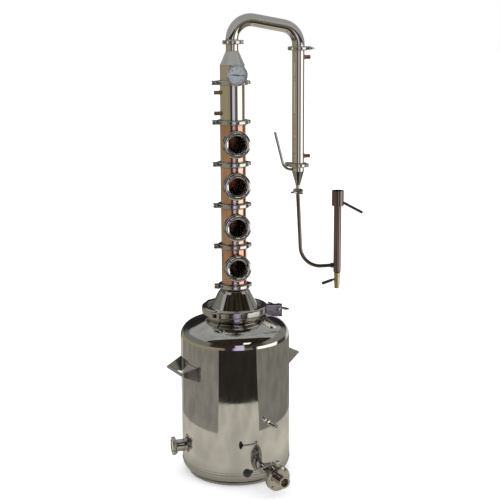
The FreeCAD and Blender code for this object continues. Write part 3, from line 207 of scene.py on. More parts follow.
def span(tree, source, low, high, start=0.0, end=1.0):
    """Maps source from start..end to low..high."""
    node = add_node(tree, "ShaderNodeMapRange")
    node.inputs["From Min"].default_value = start
    node.inputs["From Max"].default_value = end
    node.inputs["To Min"].default_value = low
    node.inputs["To Max"].default_value = high
    tree.links.new(source, node.inputs["Value"])
    return node.outputs["Result"]


def mix(tree, factor, first, second):
    """Goes from first to second as factor goes from 0 to 1. Each may be a socket or a value."""
    node = add_node(tree, "ShaderNodeMix", data_type="RGBA")
    for socket, value in ((node.inputs[0], factor), (node.inputs[6], first), (node.inputs[7], second)):
        if isinstance(value, bpy.types.NodeSocket):
            tree.links.new(value, socket)
        elif isinstance(value, (int, float)):
            socket.default_value = value
        else:
            socket.default_value = (*value, 1.0)
    return node.outputs[2]


def bump(tree, shader, height, strength, distance):
    node = add_node(tree, "ShaderNodeBump")
    node.inputs["Strength"].default_value = strength
    node.inputs["Distance"].default_value = distance
    tree.links.new(height, node.inputs["Height"])
    previous = shader.inputs["Normal"]
    if previous.is_linked:
        tree.links.new(previous.links[0].from_socket, node.inputs["Normal"])
    tree.links.new(node.outputs["Normal"], shader.inputs["Normal"])


def painted_shade_mask(tree, reach, depth):
    """0 in the open, and up to depth in corners and under rims, found by ambient occlusion: where shade is
    painted.
    """
    shade = add_node(tree, "ShaderNodeAmbientOcclusion", samples=6)
    shade.inputs["Distance"].default_value = reach
    return span(tree, shade.outputs["AO"], depth, 0.0, 0.12, 0.72)


def metal(
        name, light, dark, roughness, spread, waviness=0.0, wave_size=6.0, grain=0.0, grain_size=900.0,
        corner=0.0, painted_shade=0.0, painted_shade_reach=0.012):
    """A metal whose tint drifts between light and dark, with smudges in its gloss and soft corners."""
    material, tree, shader = new_material(name)
    shader.inputs["Metallic"].default_value = 1.0
    tint = object_noise(tree, 7.0, detail=4.0, stretch=(1, 1, 0.4))
    colour = ramp(tree, tint, ((0.3, dark), (0.7, light)))
    # Painted shade: the tint darkens towards a brown-black where ambient occlusion finds corners, creases and the
    # undersides of rims.
    if painted_shade:
        colour = mix(tree, painted_shade_mask(tree, painted_shade_reach, painted_shade), colour, PAINTED_SHADE_COLOUR)
    tree.links.new(colour, shader.inputs["Base Color"])
    smudge = object_noise(tree, 22.0, detail=6.0, stretch=(1, 1, 0.5), roughness=0.65)
    gloss = span(tree, smudge, roughness, roughness + spread, 0.35, 0.75)
    tree.links.new(gloss, shader.inputs["Roughness"])
    if corner:
        bevel = add_node(tree, "ShaderNodeBevel", samples=4)
        bevel.inputs["Radius"].default_value = corner
        tree.links.new(bevel.outputs["Normal"], shader.inputs["Normal"])
    if waviness:
        bump(tree, shader, object_noise(tree, wave_size, detail=1.0, stretch=(1, 1, 0.35)), 1.0, waviness)
    if grain:
        bump(tree, shader, object_noise(tree, grain_size, detail=2.0), 0.5, grain)
    return material


def polished_steel():
    return metal(
        "polished_steel", (0.80, 0.79, 0.76), (0.74, 0.73, 0.70), 0.03, 0.05,
        waviness=0.0002, wave_size=9.0, painted_shade=0.75, painted_shade_reach=0.018)


def boiler_steel():
    """The rolled drum: the sheet is a little wavy, so its reflections waver."""
    return metal(
        "boiler_steel", (0.78, 0.775, 0.755), (0.72, 0.715, 0.69), 0.035, 0.05,
        waviness=0.0011, wave_size=4.0, painted_shade=0.6, painted_shade_reach=0.014)


def cast_steel():
    return metal(
        "cast_steel", (0.82, 0.81, 0.79), (0.56, 0.55, 0.53), 0.06, 0.10,
        grain=0.00018, grain_size=260.0, corner=0.0016, painted_shade=0.95, painted_shade_reach=0.016)


def union_steel():
    """Turned and polished fittings, with softened corners."""
    return metal(
        "union_steel", (0.86, 0.86, 0.85), (0.74, 0.74, 0.73), 0.03, 0.06,
        waviness=0.0001, wave_size=20.0, corner=0.0026, painted_shade=0.9, painted_shade_reach=0.010)


def valve_steel():
    """The drain valve's body, greyed by use."""
    return metal(
        "valve_steel", (0.66, 0.63, 0.58), (0.44, 0.41, 0.37), 0.05, 0.10,
        waviness=0.0002, wave_size=25.0, corner=0.0030, painted_shade=0.9, painted_shade_reach=0.014)


def dull_steel():
    """The parrot's tubes, stained brown by the warm spirit that runs through them."""
    return metal(
        "dull_steel", (0.34, 0.29, 0.26), (0.16, 0.13, 0.12), 0.06, 0.08,
        waviness=0.0002, wave_size=18.0, painted_shade=0.8, painted_shade_reach=0.010)


def satin_steel():
    """Folded sheet with a worn, scratched finish."""
    return metal(
        "satin_steel", (0.86, 0.85, 0.83), (0.66, 0.65, 0.63), 0.14, 0.12,
        grain=0.00005, grain_size=400.0, corner=0.001, painted_shade=0.35, painted_shade_reach=0.010)


def plain_steel():
    return metal(
        "plain_steel", (0.72, 0.715, 0.70), (0.50, 0.49, 0.47), 0.12, 0.12,
        grain=0.0001, grain_size=700.0, corner=0.0006, painted_shade=0.85, painted_shade_reach=0.010)


def copper():
    """Buffed copper, brown and dark on the still's inside, where the vapour has tarnished it."""
    material, tree, shader = new_material("copper")
    shader.inputs["Metallic"].default_value = 1.0
    outside_wall = from_axis(tree, 0.0512, 0.0520)
    patches = object_noise(tree, 9.0, detail=5.0, stretch=(1, 1, 0.5), roughness=0.6)
    streaks = object_noise(tree, 70.0, detail=3.0, stretch=(1, 1, 0.06), roughness=0.6)
    outside = ramp(tree, patches, (
        (0.32, (0.62, 0.31, 0.21)),
        (0.5, (0.84, 0.50, 0.39)),
        (0.64, (0.98, 0.72, 0.62)),
    ))
    outside = mix(tree, span(tree, streaks, 0.0, 0.55, 0.45, 0.75), outside, (0.56, 0.33, 0.17))
    # Painted shade: the outside copper darkens to a brown-black in corners and under rims, found by ambient
    # occlusion.
    outside = mix(tree, painted_shade_mask(tree, 0.014, 0.8), outside, (0.06, 0.032, 0.022))
    tarnish = ramp(tree, patches, ((0.35, (0.040, 0.018, 0.013)), (0.65, (0.30, 0.13, 0.08))))
    tree.links.new(mix(tree, outside_wall, tarnish, outside), shader.inputs["Base Color"])
    gloss = span(tree, patches, 0.06, 0.14, 0.3, 0.7)
    tree.links.new(mix(tree, outside_wall, (0.38, 0.38, 0.38), gloss), shader.inputs["Roughness"])
    bump(tree, shader, object_noise(tree, 16.0, detail=2.0, stretch=(1, 1, 0.4)), 1.0, 0.0009)
    return material


def stub_copper():
    """The water stubs' copper, dulled brown by handling."""
    return metal(
        "stub_copper", (0.72, 0.50, 0.40), (0.42, 0.27, 0.20), 0.05, 0.08,
        waviness=0.0002, wave_size=60.0, painted_shade=0.9, painted_shade_reach=0.008)


def from_axis(tree, near, far):
    """Goes from 0 to 1 with the distance from the column's axis."""
    coords = add_node(tree, "ShaderNodeTexCoord")
    flat = add_node(tree, "ShaderNodeVectorMath", operation="MULTIPLY")
    flat.inputs[1].default_value = (1, 1, 0)
    length = add_node(tree, "ShaderNodeVectorMath", operation="LENGTH")
    tree.links.new(coords.outputs["Object"], flat.inputs[0])
    tree.links.new(flat.outputs["Vector"], length.inputs[0])
    return span(tree, length.outputs["Value"], 0.0, 1.0, near, far)


def brass():
    return metal(
        "brass", (0.86, 0.73, 0.46), (0.70, 0.55, 0.30), 0.14, 0.12,
        grain=0.0001, grain_size=600.0, corner=0.0006)


def coated(name, light, dark, roughness, spread, grain, grain_size):
    """A plastic, paint or rubber with a mottled tint and a fine grain."""
    material, tree, shader = new_material(name)
    tint = object_noise(tree, 60.0, detail=4.0)
    tree.links.new(ramp(tree, tint, ((0.3, dark), (0.7, light))), shader.inputs["Base Color"])
    gloss = object_noise(tree, 140.0, detail=5.0)
    tree.links.new(span(tree, gloss, roughness, roughness + spread, 0.35, 0.75), shader.inputs["Roughness"])
    bump(tree, shader, object_noise(tree, grain_size, detail=2.0), 0.6, grain)
    return material


def glass(name, tint, roughness, refraction=1.47):
    material, tree, shader = new_material(name)
    shader.inputs["Transmission Weight"].default_value = 1.0
    shader.inputs["IOR"].default_value = refraction
    haze = object_noise(tree, 40.0, detail=5.0)
    colour = ramp(tree, haze, ((0.4, tint), (0.8, tuple(0.96 * c for c in tint))))
    tree.links.new(colour, shader.inputs["Base Color"])
    tree.links.new(span(tree, haze, 0.0, roughness, 0.5, 0.8), shader.inputs["Roughness"])
    return material


def make_materials():
    return {
        "polished_steel": polished_steel(),
        "boiler_steel": boiler_steel(),
        "union_steel": union_steel(),
        "valve_steel": valve_steel(),
        "dull_steel": dull_steel(),
        "stub_copper": stub_copper(),
        "satin_steel": satin_steel(),
        "cast_steel": cast_steel(),
        "plain_steel": plain_steel(),
        "copper": copper(),
        "brass": brass(),
        "sight_glass": glass("sight_glass", (0.80, 0.74, 0.66), 0.03, refraction=1.12),
        "clear_lens": glass("clear_lens", (0.98, 0.99, 1.0), 0.02),
        "gasket_white": coated(
            "gasket_white", (0.62, 0.60, 0.56), (0.45, 0.43, 0.39), 0.5, 0.2, 0.0002, 500.0),
        "dial_face": coated(
            "dial_face", (0.78, 0.84, 0.88), (0.66, 0.73, 0.79), 0.35, 0.15, 0.00005, 800.0),
        "black_metal": coated(
            "black_metal", (0.03, 0.03, 0.03), (0.015, 0.015, 0.015), 0.4, 0.2, 0.00005, 900.0),
        "black_vinyl": coated(
            "black_vinyl", (0.03, 0.03, 0.032), (0.015, 0.015, 0.016), 0.35, 0.2, 0.0002, 600.0),
        "black_plastic": coated(
            "black_plastic", (0.025, 0.025, 0.027), (0.01, 0.01, 0.011), 0.15, 0.1, 0.00005, 500.0),
        "ink": coated("ink", (0.09, 0.10, 0.13), (0.05, 0.055, 0.07), 0.5, 0.2, 0.00002, 900.0),
    }


# Nodes whose finish differs a little from the rest of their slot in the record.
SPECIAL_FINISH = {
    "boiler_shell": "boiler_steel",
    "boiler_base": "boiler_steel",
    "handle_left": "satin_steel",
    "handle_right": "satin_steel",
    "sight_ring_nuts": "union_steel",
    "sight_sockets": "union_steel",
    "section_ferrules": "union_steel",
    "port_caps": "union_steel",
    "drain_valve_body": "valve_steel",
    "drain_lever": "satin_steel",
    "delivery_tube": "dull_steel",
    "parrot_tube": "dull_steel",
    "parrot_cup": "dull_steel",
    "thermometer_case": "union_steel",
    "water_stubs": "stub_copper",
}


def dress_nodes(materials):
    """Gives every CAD node the finish of its slot in the record."""
    for part in frame["record"]["subparts"]:
        mesh = NODES[part["node"]].data
        mesh.materials.clear()
        finish = SPECIAL_FINISH.get(part["node"], part["material_slot"])
        mesh.materials.append(materials[finish])


# ---------------------------------------------------------------- detail pieces


def add_piece(name, mesh, material, body="root"):
    mesh.materials.append(material)
    piece = bpy.data.objects.new(name, mesh)
    bpy.context.scene.collection.objects.link(piece)
    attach(piece, body)
    return piece


def sweep(tubes, name):
    """One mesh of closed tubes. Each tube is a list of (point, outward direction, radius)."""
    verts, faces = [], []
    sides = 8
    for path in tubes:
        base = len(verts)
        count = len(path)
        for index, (point, outward, radius) in enumerate(path):
            ahead = (path[(index + 1) % count][0] - path[index - 1][0]).normalized()
            across = ahead.cross(outward).normalized()
            for k in range(sides):
                turn = 2 * math.pi * k / sides
                verts.append(point + radius * (math.cos(turn) * outward + math.sin(turn) * across))
        for index in range(count):
            after = (index + 1) % count
            for k in range(sides):
                step = (k + 1) % sides
                faces.append((
                    base + index * sides + k, base + index * sides + step,
                    base + after * sides + step, base + after * sides + k,
                ))
    mesh = bpy.data.meshes.new(name)
    mesh.from_pydata(verts, [], faces)
    mesh.shade_smooth()
    return mesh


def ripple(rng, radius, index, pitch=3):
    """The radius of a weld bead at one step of its path: a row of small overlapping drops."""
    return radius * (1.0 + 0.22 * math.sin(2 * math.pi * index / pitch) + rng.uniform(-0.06, 0.06))


def ring_weld(rng, centre, radius, bead, count=180):
    """A bead round an upright tube."""
    path = []
    for index in range(count):
        outward = polar(360 * index / count, 1.0, 0.0)
        path.append((Vector(centre) + radius * outward, outward, ripple(rng, bead, index)))
    return path


def saddle_weld(rng, axis_point, drum, azimuth, radius, bead, count=90):
    """A bead where a level pipe meets an upright drum. The pipe points along the azimuth."""
    ahead = polar(azimuth, 1.0, 0.0)
    across = UP.cross(ahead)
    path = []
    for index in range(count):
        turn = 2 * math.pi * index / count
        side, rise = radius * math.cos(turn), radius * math.sin(turn)
        depth = math.sqrt(drum ** 2 - side ** 2)
        outward = (across * math.cos(turn) + UP * math.sin(turn)).normalized()
        point = Vector(axis_point) + ahead * depth + across * side + UP * rise
        path.append((point, outward, ripple(rng, bead, index)))
    return path


def handle_weld(rng, azimuth, side, bead, count=40):
    """A long bead down one leg of a handle, and back up inside it."""
    turn = Matrix.Rotation(math.radians(azimuth - 90), 3, "Z")
    foot = Vector((HANDLE_FOOT[0], side * HANDLE_FOOT[1], 0))
    reach = (Vector((HANDLE_GRIP[0], side * HANDLE_GRIP[1], 0)) - foot).normalized()
    start = foot.dot(reach)
    run = -start + math.sqrt(start ** 2 - foot.length_squared + DRUM_R ** 2)
    seat = foot + reach * run
    path = []
    for index in range(count):
        share = index / count
        rise = abs(1 - 2 * share)
        offset = HANDLE_BEAD_SIDE if share < 0.5 else -HANDLE_BEAD_SIDE
        point = seat + Vector((0, offset, HANDLE_LOW + rise * (HANDLE_HIGH - HANDLE_LOW)))
        path.append((turn @ point, turn @ Vector((1, 0, 0)), ripple(rng, bead, index)))
    return path


def make_welds(materials):
    """Weld and solder beads where tubes, cones, ports, sockets and handles are joined."""
    rng = random.Random(7)
    rings = (
        ((0, 0, LID_CONE_TOP), STEEL_R, 0.0011),
        ((0, 0, HEAD_CONE_LOW), STEEL_R, 0.0010),
        ((0, 0, HEAD_CONE_HIGH), PIPE_R, 0.0010),
        ((0, 0, ARM_START_Z), PIPE_R, 0.0009),
        ((CONDENSER_X, 0, ARM_END_Z), PIPE_R, 0.0009),
        ((CONDENSER_X, 0, OUTLET_CONE_HIGH), PIPE_R, 0.0009),
        ((CONDENSER_X, 0, OUTLET_CONE_LOW), OUTLET_R, 0.0008),
        ((0, 0, SEAM_Z), DRUM_R, 0.0013),
        ((0, 0, SEAM_Z + SEAM_STEP), DRUM_R, 0.0007),
        ((0, 0, DISC_TOP), DISC_R, 0.0012),
    )
    tubes = [ring_weld(rng, centre, radius, bead) for centre, radius, bead in rings]
    for azimuth, height, radius, bead in BOILER_PORTS:
        tubes.append(saddle_weld(rng, (0, 0, height), DRUM_R, azimuth, radius, bead))
    for height in SIGHT_HEIGHTS:
        tubes.append(saddle_weld(rng, (0, 0, height), COPPER_R, 0, SOCKET_R, 0.0013))
    for height in COLUMN_STUBS:
        tubes.append(saddle_weld(rng, (0, 0, height), STEEL_R, -90, STUB_COLLAR_R, 0.0009))
    for height in CONDENSER_STUBS:
        tubes.append(saddle_weld(rng, (CONDENSER_X, 0, height), PIPE_R, 90, STUB_COLLAR_R, 0.0009))
    for azimuth in HANDLE_AZIMUTHS:
        for side in (-1, 1):
            tubes.append(handle_weld(rng, azimuth, side, 0.0016))
    add_piece("weld_beads", sweep(tubes, "weld_beads"), materials["cast_steel"])
    solder = []
    for low, high in zip(COLUMN_JOINTS, COLUMN_JOINTS[1:]):
        for height in (low + SOLDER_STEP, high - SOLDER_STEP):
            solder.append(ring_weld(rng, (0, 0, height), COPPER_R, 0.0010))
    add_piece("solder_lines", sweep(solder, "solder_lines"), materials["plain_steel"])
    inlet = (PARROT_X, 0, PARROT_INLET_Z)
    mesh = sweep([saddle_weld(rng, inlet, PARROT_R, -90, PARROT_SOCKET_R, 0.0008)], "parrot_weld")
    add_piece("parrot_weld", mesh, materials["cast_steel"], "parrot")


def thread_mesh(name, rows):
    """Screw thread crests as rings along bolts. A row is (start, direction, radius, length)."""
    tubes = []
    for start, ahead, radius, length in rows:
        side = ahead.orthogonal().normalized()
        other = ahead.cross(side)
        for index in range(int(length / THREAD_PITCH)):
            centre = start + ahead * (index * THREAD_PITCH)
            path = []
            for k in range(20):
                turn = 2 * math.pi * k / 20
                outward = side * math.cos(turn) + other * math.sin(turn)
                path.append((centre + outward * radius, outward, THREAD_CREST))
            tubes.append(path)
    return sweep(tubes, name)


def crown_segment(verts, faces, height, start, arc):
    """One arc of a ring nut's crowned face, between two spanner notches."""
    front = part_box("sight_ring_nuts")[0][1]
    middle = (NUT_OUTER_R + NUT_INNER_R) / 2
    half = (NUT_OUTER_R - NUT_INNER_R) / 2 - CROWN_SINK
    profile = [(middle + half, CROWN_SINK)]
    profile += [(middle - half * t, -NUT_CROWN * (1 - t * t)) for t in (k / 6 for k in range(-6, 7))]
    profile.append((middle - half, CROWN_SINK))
    base = len(verts)
    rows = 28
    wide = len(profile)
    for row in range(rows + 1):
        turn = math.radians(start + arc * row / rows)
        for radius, depth in profile:
            verts.append((radius * math.sin(turn), front + depth, height + radius * math.cos(turn)))
    for row in range(rows):
        for k in range(wide):
            low, high = base + row * wide, base + (row + 1) * wide
            faces.append((low + k, low + (k + 1) % wide, high + (k + 1) % wide, high + k))
    faces.append(tuple(base + k for k in range(wide)))
    faces.append(tuple(base + rows * wide + k for k in range(wide)))


def make_crowns(materials):
    """The ring nuts' faces, each turned to a shallow crown and cut by four spanner notches."""
    verts, faces = [], []
    gap = math.degrees(NOTCH_HALF / NUT_INNER_R)
    for height in SIGHT_HEIGHTS:
        for quarter in range(4):
            crown_segment(verts, faces, height, 45 + 90 * quarter + gap, 90 - 2 * gap)
    mesh = bpy.data.meshes.new("ring_nut_crowns")
    mesh.from_pydata(verts, [], faces)
    work = bmesh.new()
    work.from_mesh(mesh)
    bmesh.ops.recalc_face_normals(work, faces=work.faces)
    work.to_mesh(mesh)
    work.free()
    mesh.shade_smooth()
    mesh.set_sharp_from_angle(angle=math.radians(40))
    add_piece("ring_nut_crowns", mesh, materials["union_steel"])


def make_threads(materials):
    """The threads that show past each wing nut, placed from the joints that turn the nuts."""
    rows = []
    for joint in frame["joints"]:
        if "wing_nut" in joint["name"]:
            ahead = Vector(joint["axis"]).normalized()
            past, radius, length = LID_THREAD if joint["name"].startswith("lid") else CLAMP_THREAD
            rows.append((Vector(joint["pos_m"]) + ahead * past, ahead, radius, length))
    add_piece("bolt_threads", thread_mesh("bolt_threads", rows), materials["plain_steel"])


def make_hose_barbs(materials):
    """Rolled beads near the ends of the copper water stubs, which hold a hose on."""
    tubes = []
    for axis_x, reach, ahead, heights in (
            (0.0, STEEL_R, -1, COLUMN_STUBS), (CONDENSER_X, PIPE_R, 1, CONDENSER_STUBS)):
        for height in heights:
            for offset, bead in HOSE_BEADS:
                centre = Vector((axis_x + ahead * (reach + offset), 0, height))
                path = []
                for k in range(40):
                    turn = 2 * math.pi * k / 40
                    outward = Vector((0, math.cos(turn), math.sin(turn)))
                    path.append((centre + outward * STUB_R, outward, bead))
                tubes.append(path)
    add_piece("hose_beads", sweep(tubes, "hose_beads"), materials["stub_copper"])


def mark_angle(index):
    return DIAL_START + DIAL_SWEEP * index / DIAL_MARKS


def dial_point(angle, radius, lift):
    """A point in front of the dial's face, lifted off it."""
    turn = math.radians(angle)
    return Vector((radius * math.sin(turn), -DIAL_FACE - lift, DIAL_Z + radius * math.cos(turn)))


def make_dial(materials):
    """Printed graduations, a ring and plain numbers on the thermometer's face."""
    verts, faces = [], []

    def stripe(start, end, inner, outer):
        base = len(verts)
        for angle, radius in ((start, inner), (end, inner), (end, outer), (start, outer)):
            verts.append(dial_point(angle, radius, PRINT_LIFT))
        faces.append(tuple(range(base, base + 4)))

    for index in range(DIAL_MARKS + 1):
        angle = mark_angle(index)
        long_mark = index % MARKS_PER_LONG == 0
        half = 1.3 if long_mark else 0.6
        stripe(angle - half, angle + half, LONG_MARK_R if long_mark else SHORT_MARK_R, MARK_OUTER_R)
    step = 360 // DIAL_RING_STEPS
    for index in range(DIAL_RING_STEPS):
        stripe(step * index, step * index + step, *DIAL_RING)
    mesh = bpy.data.meshes.new("dial_marks")
    mesh.from_pydata(verts, [], faces)
    add_piece("dial_marks", mesh, materials["ink"])
    for index in range(0, DIAL_MARKS + 1, MARKS_PER_NUMBER):
        make_number(str(DEGREES_PER_MARK * index), mark_angle(index), materials)


def make_number(text, angle, materials):
    font = bpy.data.curves.new("number", "FONT")
    font.body = text
    font.size = NUMBER_SIZE
    font.align_x = "CENTER"
    font.align_y = "CENTER"
    holder = bpy.data.objects.new("number", font)
    bpy.context.scene.collection.objects.link(holder)
    bpy.context.view_layer.update()
    mesh = bpy.data.meshes.new_from_object(holder)
    bpy.data.objects.remove(holder)
    centre = dial_point(angle, NUMBER_R, NUMBER_LIFT)
    mesh.transform(Matrix.Translation(centre) @ Matrix.Rotation(math.radians(90), 4, "X"))
    add_piece("dial_number_" + text, mesh, materials["ink"])


def make_details(materials):
    make_welds(materials)
    make_crowns(materials)
    make_threads(materials)
    make_hose_barbs(materials)
    make_dial(materials)


# ---------------------------------------------------------------- studio


def make_camera():
    place = Vector((
        CAMERA_DISTANCE * math.sin(CAMERA_AZIMUTH),
        -CAMERA_DISTANCE * math.cos(CAMERA_AZIMUTH),
        CAMERA_HEIGHT,
    ))
    heading = math.atan2(-place.y, -place.x) - CAMERA_YAW
    level = Vector((math.cos(heading), math.sin(heading), 0))
    forward = level * math.cos(CAMERA_PITCH) - UP * math.sin(CAMERA_PITCH)
    right = level.cross(UP)
    turn = Matrix((right, right.cross(forward), -forward)).transposed()
    turn = turn @ Matrix.Rotation(CAMERA_ROLL, 3, "Z")
    camera = bpy.data.objects.new("camera", bpy.data.cameras.new("camera"))
    camera.matrix_world = Matrix.Translation(place) @ turn.to_4x4()
    camera.data.lens = CAMERA_LENS
    camera.data.sensor_width = 36.0
    bpy.context.scene.collection.objects.link(camera)
    bpy.context.scene.camera = camera


def flat_mesh(name, outline, z):
    """A flat sheet with the given outline, lying level at z and facing up."""
    turn = sum(a[0] * b[1] - a[1] * b[0] for a, b in zip(outline, (*outline[1:], outline[0])))
    if turn < 0:
        outline = tuple(reversed(outline))
    mesh = bpy.data.meshes.new(name)
    mesh.from_pydata([(x, y, z) for x, y in outline], [], [tuple(range(len(outline)))])
    sheet = bpy.data.objects.new(name, mesh)
    bpy.context.scene.collection.objects.link(sheet)
    return sheet


def glow_card(card, colour, streak, shaded=False, seen_from="above"):
    """Makes a sheet a coloured light that shows from one side, and only in the metal's gloss.

    Streak is the share of the colour left in its darker streaks. A shaded sheet is dim near the axis: a painted
    shadow of the boiler standing on it.
    """
    material = bpy.data.materials.new(card.name)
    material.use_nodes = True
    tree = material.node_tree
    tree.nodes.clear()
    glow = add_node(tree, "ShaderNodeEmission")
    streaks = object_noise(tree, 2.8, detail=2.0)
    shade = tuple(streak * c for c in colour)
    light = ramp(tree, streaks, ((0.35, shade), (0.65, colour)))
    # Painted shadow of the boiler: the glow dims towards the axis.
    if shaded:
        dim = tuple(SHADED_SHARE * c for c in colour)
        light = mix(tree, from_axis(tree, *SHADED_REACH), dim, light)
    tree.links.new(light, glow.inputs["Color"])
    geometry = add_node(tree, "ShaderNodeNewGeometry")
    clear = add_node(tree, "ShaderNodeBsdfTransparent")
    blend = add_node(tree, "ShaderNodeMixShader")
    tree.links.new(geometry.outputs["Backfacing"], blend.inputs["Fac"])
    tree.links.new(glow.outputs["Emission"], blend.inputs[1 if seen_from == "above" else 2])
    tree.links.new(clear.outputs["BSDF"], blend.inputs[2 if seen_from == "above" else 1])
    out = add_node(tree, "ShaderNodeOutputMaterial")
    tree.links.new(blend.outputs["Shader"], out.inputs["Surface"])
    card.data.materials.append(material)
    card.visible_camera = False
    card.visible_diffuse = False
    card.visible_transmission = False
    card.visible_shadow = False


def rectangle(left, right, front, back):
    return ((left, front), (right, front), (right, back), (left, back))


def disc(radius, count=72):
    return tuple(polar(360 * i / count, radius, 0).xy for i in range(count))


def make_floor():
    floor = flat_mesh("floor", rectangle(-FLOOR_SIZE, FLOOR_SIZE, -FLOOR_SIZE, FLOOR_SIZE), 0.0)
    material, tree, shader = new_material("floor_paper")
    paper = object_noise(tree, 3.0, detail=4.0)
    colour = ramp(tree, paper, ((0.3, (0.90, 0.90, 0.90)), (0.7, (0.92, 0.92, 0.92))))
    tree.links.new(colour, shader.inputs["Base Color"])
    shader.inputs["Roughness"].default_value = 0.9
    shader.inputs["Specular IOR Level"].default_value = 0.1
    shader.inputs["Emission Color"].default_value = (1.0, 1.0, 1.0, 1.0)
    shader.inputs["Emission Strength"].default_value = 0.28
    floor.data.materials.append(material)
    floor.visible_glossy = False


def sector(start, end, inner, outer, steps=24):
    """The outline of a part of a ring about the still, by azimuth in degrees from -Y towards +X."""
    azimuths = [start + (end - start) * i / steps for i in range(steps + 1)]
    outside = [polar(azimuth, outer, 0).xy for azimuth in azimuths]
    inside = [polar(azimuth, inner, 0).xy for azimuth in reversed(azimuths)]
    return tuple(outside + inside)


def make_floor_cards():
    """What the polished boiler mirrors: a warm sheet under the still, and a dimmer floor round it."""
    cards = (
        ("paper_sheet", disc(FLOOR_REACH), (0.60, 0.565, 0.485)),
        ("left_floor", sector(-150, -45, SIDE_FLOOR_START, FLOOR_REACH), (0.29, 0.27, 0.24)),
        ("front_floor", sector(-45, 30, FRONT_FLOOR_START, FLOOR_REACH), (0.03, 0.025, 0.02)),
        ("right_floor", sector(30, 150, SIDE_FLOOR_START, FLOOR_REACH), (0.24, 0.23, 0.20)),
    )
    for index, (name, outline, colour) in enumerate(cards):
        sheet = flat_mesh(name, outline, (index + 1) * CARD_LIFT)
        glow_card(sheet, colour, streak=0.76, shaded=name == "paper_sheet")


def make_ceiling_cards():
    """The studio's ceiling: pale, dark over the front, with one lamp in the dark part."""
    cards = (
        ("ceiling_pale", rectangle(-CEILING_REACH, CEILING_REACH, CEILING_SPLIT, CEILING_REACH),
         (0.40, 0.40, 0.39), 0.80),
        ("ceiling_dark", rectangle(-CEILING_REACH, CEILING_REACH, CEILING_FRONT, CEILING_SPLIT),
         (0.04, 0.03, 0.02), 0.30),
        ("ceiling_lamp", rectangle(0.2, 0.8, -2.6, -1.8), (1.9, 1.8, 1.6), 0.9),
    )
    for index, (name, outline, colour, streak) in enumerate(cards):
        sheet = flat_mesh(name, outline, CEILING_Z - index * CARD_LIFT)
        glow_card(sheet, colour, streak=streak, seen_from="below")


# The room's bands of light in the metal's gloss: azimuth in degrees from -Y towards +X, and colour.
ROOM_BANDS = (
    (-180, (0.03, 0.028, 0.022)),
    (-172, (0.05, 0.045, 0.03)),
    (-160, (0.30, 0.265, 0.17)),
    (-60, (0.33, 0.29, 0.18)),
    (-36, (0.27, 0.235, 0.15)),
    (-31, (0.03, 0.02, 0.03)),
    (-19, (0.04, 0.03, 0.04)),
    (-13, (0.62, 0.56, 0.74)),
    (4, (0.70, 0.66, 0.84)),
    (8, (0.16, 0.15, 0.12)),
    (22, (0.17, 0.16, 0.12)),
    (26, (0.03, 0.02, 0.02)),
    (32, (0.04, 0.02, 0.02)),
    (36, (1.5, 1.45, 1.30)),
    (82, (1.4, 1.35, 1.20)),
    (87, (0.06, 0.035, 0.035)),
    (114, (0.09, 0.055, 0.05)),
    (124, (0.66, 0.64, 0.60)),
    (164, (0.72, 0.70, 0.66)),
    (172, (0.03, 0.028, 0.025)),
)
UPPER_BANDS = (
    (-180, (0.015, 0.015, 0.015)),
    (-162, (0.03, 0.03, 0.03)),
    (-148, (0.16, 0.16, 0.15)),
    (-130, (0.20, 0.20, 0.185)),
    (-70, (0.18, 0.175, 0.155)),
    (-62, (0.035, 0.025, 0.02)),
    (-14, (0.03, 0.02, 0.02)),
    (-11, (0.62, 0.58, 0.78)),
    (4, (0.66, 0.64, 0.80)),
    (8, (0.04, 0.03, 0.03)),
    (44, (0.05, 0.04, 0.035)),
    (58, (0.22, 0.22, 0.20)),
    (130, (0.24, 0.24, 0.225)),
    (142, (0.02, 0.02, 0.02)),
)
HIGH_BANDS = (
    (-180, (0.27, 0.23, 0.135)),
    (-62, (0.30, 0.25, 0.14)),
    (-44, (0.24, 0.19, 0.10)),
    (-36, (0.80, 0.74, 0.66)),
    (-30, (0.10, 0.06, 0.03)),
    (-14, (0.26, 0.17, 0.08)),
    (10, (0.30, 0.21, 0.11)),
    (24, (0.10, 0.07, 0.035)),
    (40, (0.40, 0.35, 0.22)),
    (64, (0.12, 0.085, 0.045)),
    (82, (0.66, 0.61, 0.48)),
    (104, (0.12, 0.08, 0.045)),
    (130, (0.45, 0.42, 0.34)),
)
FAR_FLOOR = (0.10, 0.075, 0.05)

# Elevations in degrees between which one row of bands gives way to the next.
FLOOR_TO_ROOM = (-19, -15)
ROOM_TO_UPPER = (-0.5, 1.5)
UPPER_TO_HIGH = (25, 31)

# The even light that falls on all that isn't gloss.
SOFT_LIGHT = (1.18, 1.18, 1.2)


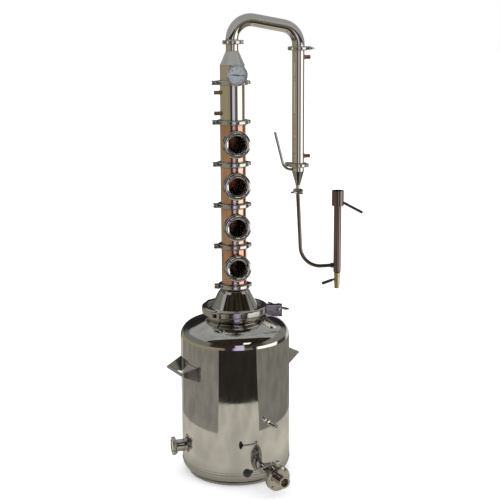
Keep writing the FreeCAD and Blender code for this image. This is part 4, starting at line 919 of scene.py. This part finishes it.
def band_colours(tree, azimuth, bands):
    place = span(tree, azimuth, 0.0, 1.0, -math.pi, math.pi)
    return ramp(tree, place, tuple(((a + 180) / 360, c) for a, c in bands))


def above(tree, rise, start, end):
    """Goes from 0 to 1 between two elevations, in degrees."""
    return span(tree, rise, 0.0, 1.0, math.sin(math.radians(start)), math.sin(math.radians(end)))


def room_light(tree):
    """The colour of the room in a direction: a dim floor and three rows of bands."""
    coords = add_node(tree, "ShaderNodeTexCoord")
    parts = add_node(tree, "ShaderNodeSeparateXYZ")
    tree.links.new(coords.outputs["Generated"], parts.inputs["Vector"])
    flip = add_node(tree, "ShaderNodeMath", operation="MULTIPLY")
    flip.inputs[1].default_value = -1.0
    tree.links.new(parts.outputs["Y"], flip.inputs[0])
    azimuth = add_node(tree, "ShaderNodeMath", operation="ARCTAN2")
    tree.links.new(parts.outputs["X"], azimuth.inputs[0])
    tree.links.new(flip.outputs[0], azimuth.inputs[1])
    rise = parts.outputs["Z"]
    bands = band_colours(tree, azimuth.outputs[0], ROOM_BANDS)
    upper = band_colours(tree, azimuth.outputs[0], UPPER_BANDS)
    high = band_colours(tree, azimuth.outputs[0], HIGH_BANDS)
    light = mix(tree, above(tree, rise, *FLOOR_TO_ROOM), FAR_FLOOR, bands)
    light = mix(tree, above(tree, rise, *ROOM_TO_UPPER), light, upper)
    return mix(tree, above(tree, rise, *UPPER_TO_HIGH), light, high)


def make_world():
    """White to the eye, the room to the metal's gloss, and an even soft light to the rest."""
    world = bpy.data.worlds.new("studio")
    bpy.context.scene.world = world
    world.use_nodes = True
    tree = world.node_tree
    background = tree.nodes["Background"]
    rays = add_node(tree, "ShaderNodeLightPath")
    light = mix(tree, rays.outputs["Is Glossy Ray"], SOFT_LIGHT, room_light(tree))
    light = mix(tree, rays.outputs["Is Camera Ray"], light, (1.0, 1.0, 1.0))
    tree.links.new(light, background.inputs["Color"])


def make_studio():
    bpy.context.scene.view_settings.view_transform = "Standard"
    make_floor()
    make_floor_cards()
    make_ceiling_cards()
    make_world()


def main():
    materials = make_materials()
    dress_nodes(materials)
    make_details(materials)
    make_camera()
    make_studio()


main()
